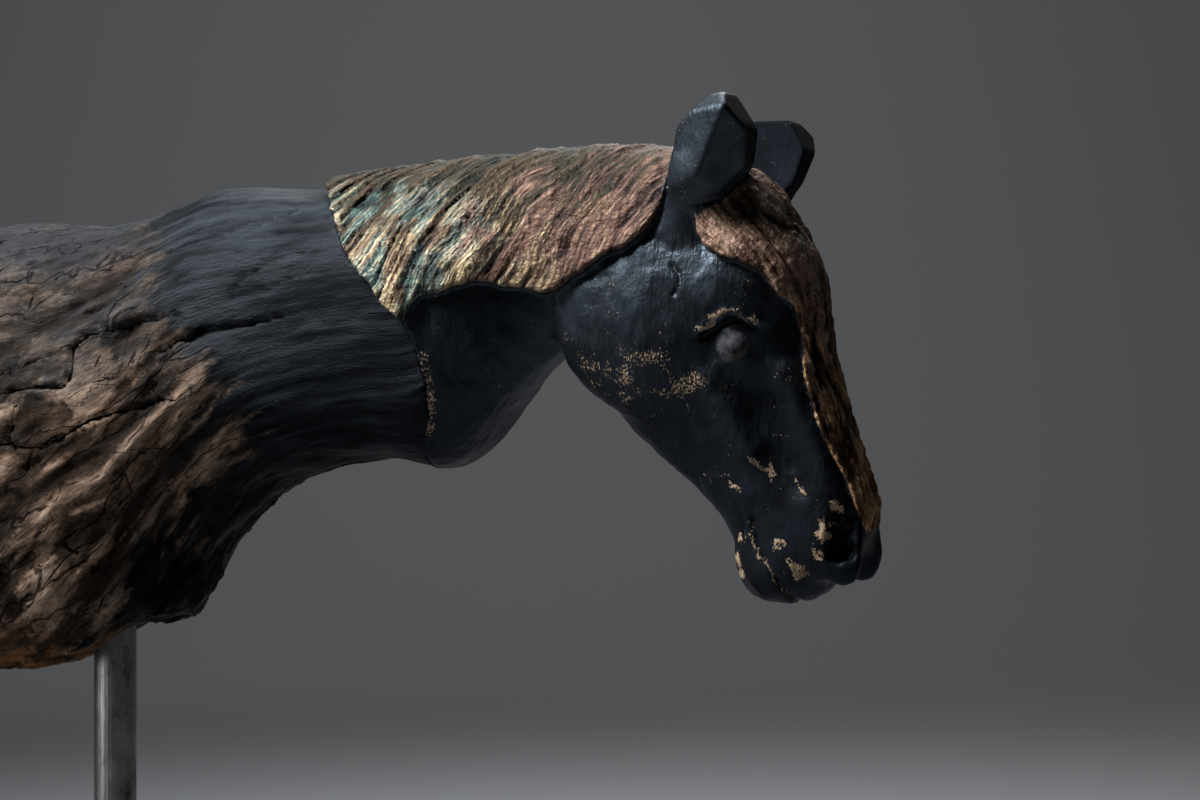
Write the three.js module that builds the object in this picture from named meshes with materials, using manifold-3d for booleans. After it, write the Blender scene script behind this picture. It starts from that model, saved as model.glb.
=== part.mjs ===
// A horse's head modelled on the end of a weathered driftwood log, which a steel rod holds above a plate.
// Millimetres, +Z up, +X the way the horse looks, +Y to its left.
// The origin is under the rod, on the plate's underside.
import * as THREE from "three";
import { mergeVertices } from "three/addons/utils/BufferGeometryUtils.js";
import Module from "manifold-3d";

const wasm = await Module();
wasm.setup();

// Driving dimensions of the stand
const PLATE_LENGTH = 200;
const PLATE_WIDTH = 110;
const PLATE_THICKNESS = 10;
const PLATE_CORNER = 4;
const PLATE_BEVEL = 1;
const PLATE_CORNER_STEPS = 4;
const ROD_DIAMETER = 12;
const ROD_TOP = 142;
const ROD_SIDES = 32;
const ROD_SOCKET = 6;
const FIT_GAP = 0.3;

// Driving dimensions of the log: top line, under line and half width, each as [x, value] knots
const LOG_START = -84;
const LOG_END = 188;
const LOG_BROKEN_ROUNDING = 34;
const LOG_INNER_ROUNDING = 10;
const LOG_SECTION_POWER = 2.3;
const LOG_TOP = [
  [-90, 203], [-38, 209], [2, 210], [27, 215], [40, 218.5], [70, 219], [100, 221.5], [138, 224.5],
  [168, 224.5], [190, 218],
];
const LOG_UNDER = [
  [-90, 98], [-60, 88], [-30, 83], [-8, 89], [8, 98], [20, 104], [32, 117], [46, 129.5], [62, 139],
  [90, 143], [106, 141.5], [116, 147], [126, 159], [140, 172], [176, 190],
];
const LOG_HALF_WIDTH = [
  [-90, 36], [-40, 40], [0, 40], [40, 35], [70, 31], [104, 29], [120, 24.5], [136, 17.5], [190, 14],
];

// Lobes of the log, each a centre and three radii
const SHOULDER_LOBES = [
  { centre: [-20, -20, 127], radii: [47, 26, 41] },
  { centre: [-30, 18, 131], radii: [48, 25, 42] },
];
const CHEST_KNOB = { centre: [17.5, -3, 112], radii: [15.5, 17, 14.5] };
const LOBE_BLEND = 12;

// The joint between the log and the modelled head, as [x, z] down the side of the neck
const SEAM = [
  [62, 246], [69, 222], [76, 215], [81, 209], [87, 199], [95, 190], [104, 182], [108, 173], [110, 164],
  [109, 155], [105, 147], [101, 130],
];
const SEAM_STEPS = 22;
const SEAM_REACH = 320;
const SEAM_HALF_DEPTH = 120;

// The head's own axes: t runs down the face from the poll, u runs forward from the middle of the skull
const HEAD_ORIGIN = { x: 178, z: 205 };
const HEAD_SLOPE = THREE.MathUtils.degToRad(68);
const HEAD_START = -15;
const HEAD_LENGTH = 101.5;
const HEAD_END_ROUNDING = 9;
const HEAD_SECTION_POWER = 2.3;
const FACE_FRONT = [
  [-15, 13], [-6, 18.1], [4, 21.6], [14, 23.5], [25, 23.8], [34, 22], [43, 19.9], [50, 18.9], [60, 18.2],
  [68, 17.6], [75, 17.4], [82, 17], [87, 16], [92, 13], [96, 8.8], [100, 2],
];
const FACE_BACK = [
  [-15, -16], [0, -27], [10, -33], [20, -36.5], [30, -38.9], [36, -38.6], [43, -36.2], [50, -32.6],
  [58, -28.6], [65, -25.3], [72, -22.4], [79, -21.2], [86, -23.2], [91, -23], [96, -21], [101, -17],
];
const FACE_HALF_WIDTH = [
  [-15, 13], [0, 17], [12, 19], [24, 19.5], [33, 18.5], [45, 15.8], [56, 13.4], [66, 12.2], [76, 12.3],
  [85, 12.8], [91, 12.3], [96, 10.8], [101, 8],
];
const THROAT_BLEND = 5;

// Features of the face, on one side, as [t, u, y]
const CHEEK = { centre: [17.5, -18.5, 11.5], radii: [25, 25.5, 9.5] };
const TEMPLE = { centre: [20, 4, 13], radii: [13, 14, 7.5] };
const EYE = { centre: [34.2, 1.8, 13.4], radii: [6.4, 6.4, 6.4] };
const EYE_SOCKET = { centre: [35, 3.8, 23], radii: [10.5, 11.5, 5.5] };
const BROW = { from: [28, -5.5, 18.2], over: [25.6, 3, 19], to: [31, 9.8, 17], radius: 2.3 };
const FACIAL_CREST = { from: [40, -7, 15.5], to: [60, -4, 11.8], radius: 2.6 };
const NASAL_RIDGE = { from: [46, 11, 10.5], to: [80, 9.5, 9.2], radius: 3 };
const NASAL_HOLLOW = { from: [50, 4, 18.5], to: [74, 2.5, 16.4], radius: 5 };
const NOSTRIL_RIM = { centre: [88.5, 3.6, 9.8], radii: [9, 6, 5] };
const NOSTRIL = { from: [87, 8.6, 14.6], to: [94, 4.6, 13.6], radius: 3.2 };
const MOUTH = { start: 78, end: 104, u: -11, half: 1.1, depth: 2.6 };
const FEATURE_BLEND = 5;
const CREASE_BLEND = 1.5;

// The ears: blunt lumps trimmed by flat facets.
// Each facet is a direction, as forward, out and up, and its distance from the ear's middle.
const EAR_FACETS = [
  [-1, 0, -0.05, 7.2], [0, 0, 1, 14], [0.78, 0, 0.62, 12], [1, 0, 0, 11.5],
  [0.82, 0, -0.57, 12], [-0.8, 0, -0.6, 10.4], [-0.42, 0.88, 0.12, 8], [0.72, 0.66, -0.2, 8.2],
  [-0.3, 0.55, 0.78, 11.2], [0, -1, 0, 7.5], [0, 0.45, -0.9, 12], [0, 0, -1, 13],
];
const EAR_CHAMFER = [-0.74, 0, 0.67];
const EAR_EDGE_ROUNDING = 1;
const EAR_FORWARD_LEAN = 0.22;
const EARS = [
  { side: -1, middle: [185.8, 18.5, 224.5], lean: 0.2, size: 1, chamfer: 9.3 },
  { side: 1, middle: [191, 18, 221.5], lean: 0.3, size: 0.92, chamfer: 15 },
];
const EAR_STALK_ROOT = [-7, -6, -19];
const EAR_STALK_TIP = [-2, -1, -6];
const EAR_STALK_RADIUS = 6.5;
const EAR_BLEND = 4;

// The mane: its lower edge along the neck as [x, z], how far it stands proud, and its locks
const MANE_EDGE = [
  [62, 232], [69, 221], [76, 214], [81, 208], [87, 198], [95, 189], [104, 181], [109, 186], [118, 190],
  [129, 190.5], [142, 188], [150, 192], [158, 197], [168, 201.5], [174, 210], [177, 226], [184, 240],
];
const MANE_THICKNESS = 3;
const MANE_FRONT = 184;
const MANE_FRONT_WIDTH = 6;
const HAIR_EDGE_WIDTH = 2.4;
const FAR_SIDE_LIFT = 9;
const FAR_SIDE_LIFT_WIDTH = 12;

// Locks leave the crest nearly level and turn down as they fall
const LOCK_PITCH = 12;
const LOCK_DEPTH = 1;
const LOCK_FALL = 0.5;
const LOCK_BEND = 11.7;
const LOCK_BEND_DEPTH = 8;

// The forelock, which runs on down the face as a blaze: its edge as [t, u]
const FORELOCK_EDGE = [
  [-12, 3], [0, 4.8], [6, 4.8], [12.5, 9], [16, 12.6], [20, 15.8], [29, 18.4], [37, 17.6], [48, 15],
  [64, 12.8], [79, 12.2], [90, 9], [96, 8],
];
const FORELOCK_START = -14;
const FORELOCK_START_WIDTH = 6;
const FORELOCK_END = 96;
const FORELOCK_END_WIDTH = 3;
const FORELOCK_THICKNESS = [[-12, 3], [20, 2.8], [50, 2.1], [70, 1.7], [84, 1], [92, 0.2]];
const FORELOCK_LOCK_PITCH = 6;
const FORELOCK_LOCK_DEPTH = 0.5;
const FORELOCK_LOCK_END = 60;
const FORELOCK_LOCK_FADE = 30;

// Weathering of the log: long swells that wind along the grain and die out towards the neck
const SWELL_DEPTH = 1.1;
const SWELL_LENGTH = 62;
const SWELL_PITCH = 17;
const SWELL_AXIS_HEIGHT = 150;
const SWELL_RADIUS = 30;
const SWELL_CLIMB = 0.18;
const SWELL_WANDER = 4;
const SWELL_TWIST = 23;
const SWELL_END = 96;
const SWELL_FADE = 40;

// Mesh cells, and the boxes they fill
const LOG_CELL = 9.5;
const LOG_BOX = { low: [-110, -70, 60], high: [130, 70, 240] };
const HEAD_CELL = 3.7;
const HEAD_BOX = { low: [58, -50, 96], high: [240, 50, 252] };
const SLOPE_STEP = 0.05;
const LEAST_SLOPE = 0.25;
const SETTLE_ROUNDS = 3;
const TINY = 1e-6;
const WELD_DISTANCE = 1e-4;

// A smooth curve through [position, value] knots, level past both ends
function through(knots) {
  const last = knots.length - 1;
  const slopes = knots.map(([x, v], i) => {
    const [x0, v0] = knots[Math.max(i - 1, 0)];
    const [x1, v1] = knots[Math.min(i + 1, last)];
    return i === 0 || i === last ? 0 : (v1 - v0) / (x1 - x0);
  });
  return (x) => {
    if (x <= knots[0][0]) return knots[0][1];
    if (x >= knots[last][0]) return knots[last][1];
    let i = 0;
    while (x > knots[i + 1][0]) i++;
    const [x0, v0] = knots[i];
    const [x1, v1] = knots[i + 1];
    const w = x1 - x0;
    const s = (x - x0) / w;
    const rise = s * s * (3 - 2 * s);
    return v0 + (v1 - v0) * rise + w * s * (1 - s) * ((1 - s) * slopes[i] - s * slopes[i + 1]);
  };
}

// Distance fields: negative inside, joined and cut with rounded junctions
const join = (a, b, blend) => {
  const h = Math.max(blend - Math.abs(a - b), 0) / blend;
  return Math.min(a, b) - (h * h * blend) / 4;
};
const common = (a, b, blend) => -join(-a, -b, blend);
const cut = (a, b, blend) => -join(-a, b, blend);
const ramp = (x, width) => THREE.MathUtils.smoothstep(x, 0, width);

function ellipsoid(p, { centre, radii }) {
  const q = p.map((v, i) => (v - centre[i]) / radii[i]);
  const near = Math.hypot(...q);
  const steep = Math.hypot(...q.map((v, i) => v / radii[i]));
  return near < TINY ? -Math.min(...radii) : (near * (near - 1)) / steep;
}

function capsule(p, { from, to, radius }) {
  const axis = to.map((v, i) => v - from[i]);
  const rel = p.map((v, i) => v - from[i]);
  const dot = rel[0] * axis[0] + rel[1] * axis[1] + rel[2] * axis[2];
  const s = THREE.MathUtils.clamp(dot / (axis[0] ** 2 + axis[1] ** 2 + axis[2] ** 2), 0, 1);
  return Math.hypot(...rel.map((v, i) => v - s * axis[i])) - radius;
}

// A body swept along one axis, with a rounded section between its top and under lines
function swept(across, y, top, under, halfWidth, power) {
  const middle = (top + under) / 2;
  const radius = Math.hypot(across - middle, y);
  const tall = Math.abs((across - middle) / ((top - under) / 2)) ** power;
  const wide = Math.abs(y / halfWidth) ** power;
  const share = (tall + wide) ** (1 / power);
  return share < TINY ? -halfWidth : radius * (1 - 1 / share);
}

// The log
const logTop = through(LOG_TOP);
const logUnder = through(LOG_UNDER);
const logHalfWidth = through(LOG_HALF_WIDTH);

function swell(x, y, z) {
  const around = Math.atan2(y, z - SWELL_AXIS_HEIGHT) * SWELL_RADIUS;
  const drift = SWELL_CLIMB * x + SWELL_WANDER * Math.sin(x / SWELL_LENGTH);
  const across = Math.sin(((around + drift) / SWELL_PITCH) * Math.PI);
  return across * Math.sin((x / SWELL_LENGTH) * Math.PI + around / SWELL_TWIST);
}

function logField(x, y, z) {
  let d = swept(z, y, logTop(x), logUnder(x), logHalfWidth(x), LOG_SECTION_POWER);
  for (const lobe of SHOULDER_LOBES) d = join(d, ellipsoid([x, y, z], lobe), LOBE_BLEND);
  d = join(d, ellipsoid([x, y, z], CHEST_KNOB), LOBE_BLEND / 2);
  d = common(d, LOG_START - x, LOG_BROKEN_ROUNDING);
  d = common(d, x - LOG_END, LOG_INNER_ROUNDING);
  return d - SWELL_DEPTH * swell(x, y, z) * ramp(SWELL_END - x, SWELL_FADE);
}

// The head
const faceFront = through(FACE_FRONT);
const faceBack = through(FACE_BACK);
const faceHalfWidth = through(FACE_HALF_WIDTH);
const forelockEdge = through(FORELOCK_EDGE);
const forelockThickness = through(FORELOCK_THICKNESS);
const maneEdge = through(MANE_EDGE);

function faceAxes(x, z) {
  const dx = x - HEAD_ORIGIN.x;
  const dz = z - HEAD_ORIGIN.z;
  const c = Math.cos(HEAD_SLOPE);
  const s = Math.sin(HEAD_SLOPE);
  return [dx * c - dz * s, dx * s + dz * c];
}

function skullField(t, u, y) {
  const p = [t, u, Math.abs(y)];
  let d = swept(u, y, faceFront(t), faceBack(t), faceHalfWidth(t), HEAD_SECTION_POWER);
  d = common(d, Math.max(HEAD_START - t, t - HEAD_LENGTH), HEAD_END_ROUNDING);
  d = join(d, ellipsoid(p, CHEEK), FEATURE_BLEND);
  d = join(d, ellipsoid(p, TEMPLE), FEATURE_BLEND);
  d = join(d, capsule(p, FACIAL_CREST), FEATURE_BLEND);
  d = join(d, capsule(p, NASAL_RIDGE), FEATURE_BLEND);
  d = cut(d, capsule(p, NASAL_HOLLOW), FEATURE_BLEND);
  d = cut(d, ellipsoid(p, EYE_SOCKET), FEATURE_BLEND / 2);
  d = join(d, ellipsoid(p, EYE), CREASE_BLEND);
  d = join(d, capsule(p, { from: BROW.from, to: BROW.over, radius: BROW.radius }), FEATURE_BLEND / 2);
  d = join(d, capsule(p, { from: BROW.over, to: BROW.to, radius: BROW.radius }), FEATURE_BLEND / 2);
  d = join(d, ellipsoid(p, NOSTRIL_RIM), FEATURE_BLEND);
  d = cut(d, capsule(p, NOSTRIL), CREASE_BLEND);
  const between = Math.abs(u - MOUTH.u) - MOUTH.half;
  const lips = Math.max(between, MOUTH.start - t, t - MOUTH.end, -d - MOUTH.depth);
  return cut(d, lips, CREASE_BLEND);
}

function earField(x, y, z, { side, middle, lean, size, chamfer }) {
  const out = (y * side - middle[1]) / size;
  const up = (z - middle[2]) / size;
  const forward = (x - middle[0]) / size - EAR_FORWARD_LEAN * up;
  const q = [forward, out - lean * up, up];
  const facets = [...EAR_FACETS, [...EAR_CHAMFER, chamfer]].map(([a, b, c, distance]) => {
    return (a * q[0] + b * q[1] + c * q[2]) / Math.hypot(a, b, c) - distance;
  });
  const lump = facets.reduce((d, facet) => common(d, facet, EAR_EDGE_ROUNDING)) * size;
  const from = EAR_STALK_ROOT.map((v, i) => v + middle[i]);
  const to = EAR_STALK_TIP.map((v, i) => v + middle[i]);
  return join(lump, capsule([x, y * side, z], { from, to, radius: EAR_STALK_RADIUS }), EAR_BLEND);
}

// How far the mane stands out from the neck, with its locks
function maneThickness(x, y, z) {
  const lift = FAR_SIDE_LIFT * ramp(y, FAR_SIDE_LIFT_WIDTH);
  const share = ramp(z - lift - maneEdge(x), HAIR_EDGE_WIDTH) * ramp(MANE_FRONT - x, MANE_FRONT_WIDTH);
  const fallen = Math.max(logTop(x) + MANE_THICKNESS - z, 0);
  const across = x + LOCK_FALL * fallen + LOCK_BEND * (1 - Math.exp(-fallen / LOCK_BEND_DEPTH));
  return share * (MANE_THICKNESS + LOCK_DEPTH * Math.sin((across / LOCK_PITCH) * 2 * Math.PI));
}

// How far the forelock and the blaze stand out from the face, with the forelock's locks
function forelockHeight(t, u, y) {
  const start = ramp(t - FORELOCK_START, FORELOCK_START_WIDTH);
  const end = ramp(FORELOCK_END - t, FORELOCK_END_WIDTH);
  const share = ramp(u - forelockEdge(t), HAIR_EDGE_WIDTH) * start * end;
  const lock = FORELOCK_LOCK_DEPTH * Math.sin((y / FORELOCK_LOCK_PITCH) * 2 * Math.PI);
  return share * (forelockThickness(t) + lock * ramp(FORELOCK_LOCK_END - t, FORELOCK_LOCK_FADE));
}

function horseField(x, y, z) {
  const [t, u] = faceAxes(x, z);
  let d = join(logField(x, y, z), skullField(t, u, y), THROAT_BLEND);
  d -= Math.max(maneThickness(x, y, z), forelockHeight(t, u, y));
  for (const ear of EARS) d = join(d, earField(x, y, z, ear), EAR_BLEND);
  return d;
}

// Which of a cell's eight corners belong together.
// Inside ones are joined along the cell's edges, outside ones across its faces too.
function cornerGroups(values) {
  const groups = new Array(8).fill(-1);
  for (let first = 0; first < 8; first++) {
    const open = groups[first] < 0 ? [first] : [];
    while (open.length) {
      const n = open.pop();
      groups[n] = first;
      for (const step of values[n] < 0 ? [1, 2, 4] : [1, 2, 4, 3, 5, 6])
        if (groups[n ^ step] < 0 && values[n ^ step] < 0 === values[n] < 0) open.push(n ^ step);
    }
  }
  return groups;
}

const sheetOf = (groups, inside, outside) => groups[inside] * 8 + groups[outside];

// A closed mesh of a distance field inside a box, with a vertex in each cell that the surface crosses
function meshOfField(field, { low, high }, cell) {
  const count = high.map((v, i) => Math.ceil((v - low[i]) / cell) + 1);
  const stride = [1, count[0], count[0] * count[1]];
  const place = (i, j, k) => [low[0] + i * cell, low[1] + j * cell, low[2] + k * cell];
  const value = new Float64Array(count[0] * count[1] * count[2]);
  const eachCorner = (visit) => {
    for (let k = 0; k < count[2]; k++)
      for (let j = 0; j < count[1]; j++)
        for (let i = 0; i < count[0]; i++) visit(i, j, k, i + j * stride[1] + k * stride[2]);
  };
  eachCorner((i, j, k, at) => {
    const edge = [i, j, k].some((n, axis) => n === 0 || n === count[axis] - 1);
    value[at] = edge ? cell : field(...place(i, j, k));
  });

  const gradient = (p) => {
    return p.map((v, axis) => {
      const ahead = p.map((w, i) => (i === axis ? w + SLOPE_STEP : w));
      const behind = p.map((w, i) => (i === axis ? w - SLOPE_STEP : w));
      return (field(...ahead) - field(...behind)) / (2 * SLOPE_STEP);
    });
  };
  const settle = (start) => {
    let p = start;
    for (let round = 0; round < SETTLE_ROUNDS; round++) {
      const g = gradient(p);
      const d = THREE.MathUtils.clamp(field(...p), -cell / 2, cell / 2);
      const size = Math.max(g[0] ** 2 + g[1] ** 2 + g[2] ** 2, LEAST_SLOPE);
      p = p.map((v, i) => v - (d * g[i]) / size);
    }
    return p.map((v, i) => THREE.MathUtils.clamp(v, start[i] - cell / 2, start[i] + cell / 2));
  };

  // Two sheets of surface that pass through one cell get a vertex each.
  const cells = new Map();
  const positions = [];
  eachCorner((i, j, k, at) => {
    if (i === count[0] - 1 || j === count[1] - 1 || k === count[2] - 1) return;
    const corners = [0, 1, 2, 3, 4, 5, 6, 7].map((n) => [n & 1, (n >> 1) & 1, n >> 2]);
    const values = corners.map(([a, b, c]) => value[at + a + b * stride[1] + c * stride[2]]);
    if (values.every((v) => v < 0) || values.every((v) => v >= 0)) return;
    const groups = cornerGroups(values);
    const sheets = new Map();
    for (let m = 0; m < 8; m++)
      for (const bit of [1, 2, 4]) {
        const n = m ^ bit;
        if (values[m] >= 0 || values[n] < 0) continue;
        const sheet = sheetOf(groups, m, n);
        if (!sheets.has(sheet)) sheets.set(sheet, { sum: [0, 0, 0], crossings: 0 });
        const entry = sheets.get(sheet);
        const s = values[m] / (values[m] - values[n]);
        corners[m].forEach((v, axis) => (entry.sum[axis] += v + s * (corners[n][axis] - v)));
        entry.crossings++;
      }
    const corner = place(i, j, k);
    const vertices = new Map();
    for (const [sheet, { sum, crossings }] of sheets) {
      vertices.set(sheet, positions.length / 3);
      positions.push(...settle(corner.map((v, axis) => v + (sum[axis] / crossings) * cell)));
    }
    cells.set(at, { groups, vertices });
  });

  const triangles = [];
  eachCorner((i, j, k, at) => {
    const index = [i, j, k];
    for (let axis = 0; axis < 3; axis++) {
      const [b, c] = [(axis + 1) % 3, (axis + 2) % 3];
      if (index[axis] === count[axis] - 1 || index[b] === 0 || index[c] === 0) continue;
      const startsInside = value[at] < 0;
      if (startsInside === value[at + stride[axis]] < 0) continue;
      const ring = [[0, 0], [1, 0], [1, 1], [0, 1]].map(([db, dc]) => {
        const { groups, vertices } = cells.get(at - db * stride[b] - dc * stride[c]);
        const start = (db << b) | (dc << c);
        const end = start | (1 << axis);
        return vertices.get(startsInside ? sheetOf(groups, start, end) : sheetOf(groups, end, start));
      });
      if (!startsInside) ring.reverse();
      triangles.push(ring[0], ring[1], ring[2], ring[0], ring[2], ring[3]);
    }
  });
  return new THREE.BufferGeometry()
    .setAttribute("position", new THREE.Float32BufferAttribute(positions, 3))
    .setIndex(triangles);
}

// Solids for joining and cutting
function solidOf(geometry) {
  const bare = geometry.clone();
  bare.deleteAttribute("normal");
  bare.deleteAttribute("uv");
  const merged = mergeVertices(bare, WELD_DISTANCE);
  const vertProperties = merged.getAttribute("position").array;
  const triVerts = new Uint32Array(merged.index.array);
  return new wasm.Manifold(new wasm.Mesh({ numProp: 3, vertProperties, triVerts }));
}

function geometryOf(solid) {
  const mesh = solid.getMesh();
  const geometry = new THREE.BufferGeometry()
    .setAttribute("position", new THREE.BufferAttribute(mesh.vertProperties, 3))
    .setIndex(new THREE.BufferAttribute(mesh.triVerts, 1));
  geometry.computeVertexNormals();
  return geometry;
}

function rodGeometry(radius, bottom, top) {
  return new THREE.CylinderGeometry(radius, radius, top - bottom, ROD_SIDES)
    .rotateX(Math.PI / 2)
    .translate(0, 0, (top + bottom) / 2);
}

// Everything ahead of the seam, moved back from it by a gap
function aheadOfSeam(gap) {
  const line = new THREE.SplineCurve(SEAM.map(([x, z]) => new THREE.Vector2(x - gap, z)));
  const foot = new THREE.Vector2(SEAM_REACH, SEAM.at(-1)[1] - SEAM_REACH);
  const top = new THREE.Vector2(SEAM_REACH, SEAM_REACH);
  const outline = new THREE.Shape([...line.getPoints(SEAM_STEPS), foot, top]);
  return new THREE.ExtrudeGeometry(outline, { depth: 2 * SEAM_HALF_DEPTH, bevelEnabled: false })
    .rotateX(Math.PI / 2)
    .translate(0, SEAM_HALF_DEPTH, 0);
}

function driftwoodGeometry() {
  const body = solidOf(meshOfField(logField, LOG_BOX, LOG_CELL));
  const bore = solidOf(rodGeometry(ROD_DIAMETER / 2 + FIT_GAP, 0, ROD_TOP + FIT_GAP));
  return geometryOf(body.subtract(solidOf(aheadOfSeam(FIT_GAP))).subtract(bore));
}

function headGeometry() {
  const head = solidOf(meshOfField(horseField, HEAD_BOX, HEAD_CELL));
  return geometryOf(head.intersect(solidOf(aheadOfSeam(0))));
}

function plateGeometry() {
  const a = PLATE_LENGTH / 2 - PLATE_BEVEL;
  const b = PLATE_WIDTH / 2 - PLATE_BEVEL;
  const r = PLATE_CORNER - PLATE_BEVEL;
  const outline = new THREE.Shape()
    .moveTo(-a + r, -b)
    .lineTo(a - r, -b)
    .absarc(a - r, -b + r, r, -Math.PI / 2, 0)
    .lineTo(a, b - r)
    .absarc(a - r, b - r, r, 0, Math.PI / 2)
    .lineTo(-a + r, b)
    .absarc(-a + r, b - r, r, Math.PI / 2, Math.PI)
    .lineTo(-a, -b + r)
    .absarc(-a + r, -b + r, r, Math.PI, 1.5 * Math.PI);
  const plate = new THREE.ExtrudeGeometry(outline, {
    depth: PLATE_THICKNESS - 2 * PLATE_BEVEL,
    bevelThickness: PLATE_BEVEL,
    bevelSize: PLATE_BEVEL,
    bevelSegments: 1,
    curveSegments: PLATE_CORNER_STEPS,
  }).translate(0, 0, PLATE_BEVEL);
  const socketFloor = PLATE_THICKNESS - ROD_SOCKET - FIT_GAP;
  const socket = rodGeometry(ROD_DIAMETER / 2 + FIT_GAP, socketFloor, 2 * PLATE_THICKNESS);
  return geometryOf(solidOf(plate).subtract(solidOf(socket)));
}

function part(name, geometry, finish) {
  const mesh = new THREE.Mesh(geometry, new THREE.MeshStandardMaterial(finish));
  mesh.name = name;
  return mesh;
}

const rod = rodGeometry(ROD_DIAMETER / 2, PLATE_THICKNESS - ROD_SOCKET, ROD_TOP);
const sculpture = new THREE.Group();
sculpture.add(part("driftwood_body", driftwoodGeometry(), { color: 0x6b5a4c, roughness: 0.9 }));
sculpture.add(part("horse_head", headGeometry(), { color: 0x1d2127, roughness: 0.6 }));
sculpture.add(part("support_rod", rod, { color: 0x8d8d92, roughness: 0.35, metalness: 1 }));
sculpture.add(part("base_plate", plateGeometry(), { color: 0x2c2d2f, roughness: 0.5, metalness: 1 }));

export default sculpture;
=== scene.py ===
import math

import bpy
import numpy as np
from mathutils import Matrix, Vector


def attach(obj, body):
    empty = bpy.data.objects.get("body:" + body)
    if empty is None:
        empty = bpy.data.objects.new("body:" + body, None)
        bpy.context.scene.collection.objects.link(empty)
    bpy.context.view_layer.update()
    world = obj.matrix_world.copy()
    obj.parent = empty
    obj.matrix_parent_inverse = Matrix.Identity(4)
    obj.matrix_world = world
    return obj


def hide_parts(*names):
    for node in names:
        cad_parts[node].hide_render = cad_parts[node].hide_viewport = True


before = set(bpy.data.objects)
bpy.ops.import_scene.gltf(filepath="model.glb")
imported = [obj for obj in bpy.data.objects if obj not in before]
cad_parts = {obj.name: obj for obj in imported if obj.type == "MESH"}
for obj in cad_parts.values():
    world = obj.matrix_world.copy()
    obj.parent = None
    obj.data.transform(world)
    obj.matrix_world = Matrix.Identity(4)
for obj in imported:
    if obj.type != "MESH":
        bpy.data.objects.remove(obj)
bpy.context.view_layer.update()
MM = 0.001

# The log: top line, under line and half width along x, in millimetres
LOG_START = -84
LOG_END = 188
LOG_BROKEN_ROUNDING = 34
LOG_INNER_ROUNDING = 10
LOG_SECTION_POWER = 2.3
LOG_TOP = [[-90, 203], [-38, 209], [2, 210], [27, 215], [40, 218.5], [70, 219], [100, 221.5],
           [138, 224.5], [168, 224.5], [190, 218]]
LOG_UNDER = [[-90, 98], [-60, 88], [-30, 83], [-8, 89], [8, 98], [20, 104], [32, 117], [46, 129.5],
             [62, 139], [90, 143], [106, 141.5], [116, 147], [126, 159], [140, 172], [176, 190]]
LOG_HALF_WIDTH = [[-90, 36], [-40, 40], [0, 40], [40, 35], [70, 31], [104, 29], [120, 24.5],
                  [136, 17.5], [190, 14]]
SHOULDER_LOBES = [((-20, -20, 127), (47, 26, 41)), ((-30, 18, 131), (48, 25, 42))]
CHEST_KNOB = ((17.5, -3, 112), (15.5, 17, 14.5))
LOBE_BLEND = 12

# Long shallow swells of the log
SWELL_DEPTH = 1.1
SWELL_LENGTH = 62
SWELL_PITCH = 17
SWELL_AXIS_HEIGHT = 150
SWELL_RADIUS = 30
SWELL_CLIMB = 0.18
SWELL_DRIFT = 4
SWELL_TWIST = 23
SWELL_END = (96, 40)

# The joint between log and head, as [x, z], and the bore for the rod
SEAM = [[62, 246], [69, 222], [76, 215], [81, 209], [87, 199], [95, 190], [104, 182], [108, 173],
        [110, 164], [109, 155], [105, 147], [101, 130]]
SEAM_LEAN = 0.75
SEAM_ROUNDING = 0.5
FIT_GAP = -0.3
BORE_RADIUS = 6.3
BORE_TOP = 142.3
BORE_ROUNDING = 0.3

# The head: t runs down the face from the poll, u runs forward from the middle of the skull
HEAD_ORIGIN = (178, 205)
HEAD_SLOPE = math.radians(68)
HEAD_START = -15
HEAD_LENGTH = 101.5
HEAD_END_ROUNDING = 9
HEAD_SECTION_POWER = 2.3
FACE_FRONT = [[-15, 13], [-6, 18.1], [4, 21.6], [14, 23.5], [25, 23.8], [34, 22], [43, 19.9], [50, 18.9],
              [60, 18.2], [68, 17.6], [75, 17.4], [82, 17], [87, 16], [92, 13], [96, 8.8], [100, 2]]
FACE_BACK = [[-15, -16], [0, -27], [10, -33], [20, -36.5], [30, -38.9], [36, -38.6], [43, -36.2],
             [50, -32.6], [58, -28.6], [65, -25.3], [72, -22.4], [79, -21.2], [86, -23.2], [91, -23],
             [96, -21], [101, -17]]
FACE_HALF_WIDTH = [[-15, 13], [0, 17], [12, 19], [24, 19.5], [33, 18.5], [45, 15.8], [56, 13.4],
                   [66, 12.2], [76, 12.3], [85, 12.8], [91, 12.3], [96, 10.8], [101, 8]]
THROAT_BLEND = 5
FEATURE_BLEND = 5
FINE_BLEND = 1.2

# Features of one side of the face: centre and radii, or start, end and radius, as t, u, y
CHEEK = ((17.5, -18.5, 11.5), (25, 25.5, 9.5))
TEMPLE = ((20, 4, 13), (13, 14, 7.5))
EYE_SOCKET = ((35, 3.8, 23), (10.5, 11.5, 5.5))
EYEBALL = ((34.2, 1.8, 14.6), (4.9, 4.7, 5.0))
FACIAL_CREST = ((40, -7, 15.5), (60, -4, 11.8), 2.6)
NASAL_RIDGE = ((46, 11, 10.5), (80, 9.5, 9.2), 3)
NASAL_HOLLOW = ((50, 4, 18.3), (72, 2.5, 17.8), 5)
NOSTRIL_RIM = ((86.5, 5.8, 8.8), (15, 7.5, 4.6))
NOSTRIL = ((86.5, 11.6, 12.2), (93, 8.2, 12.2), 3.7)

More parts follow.
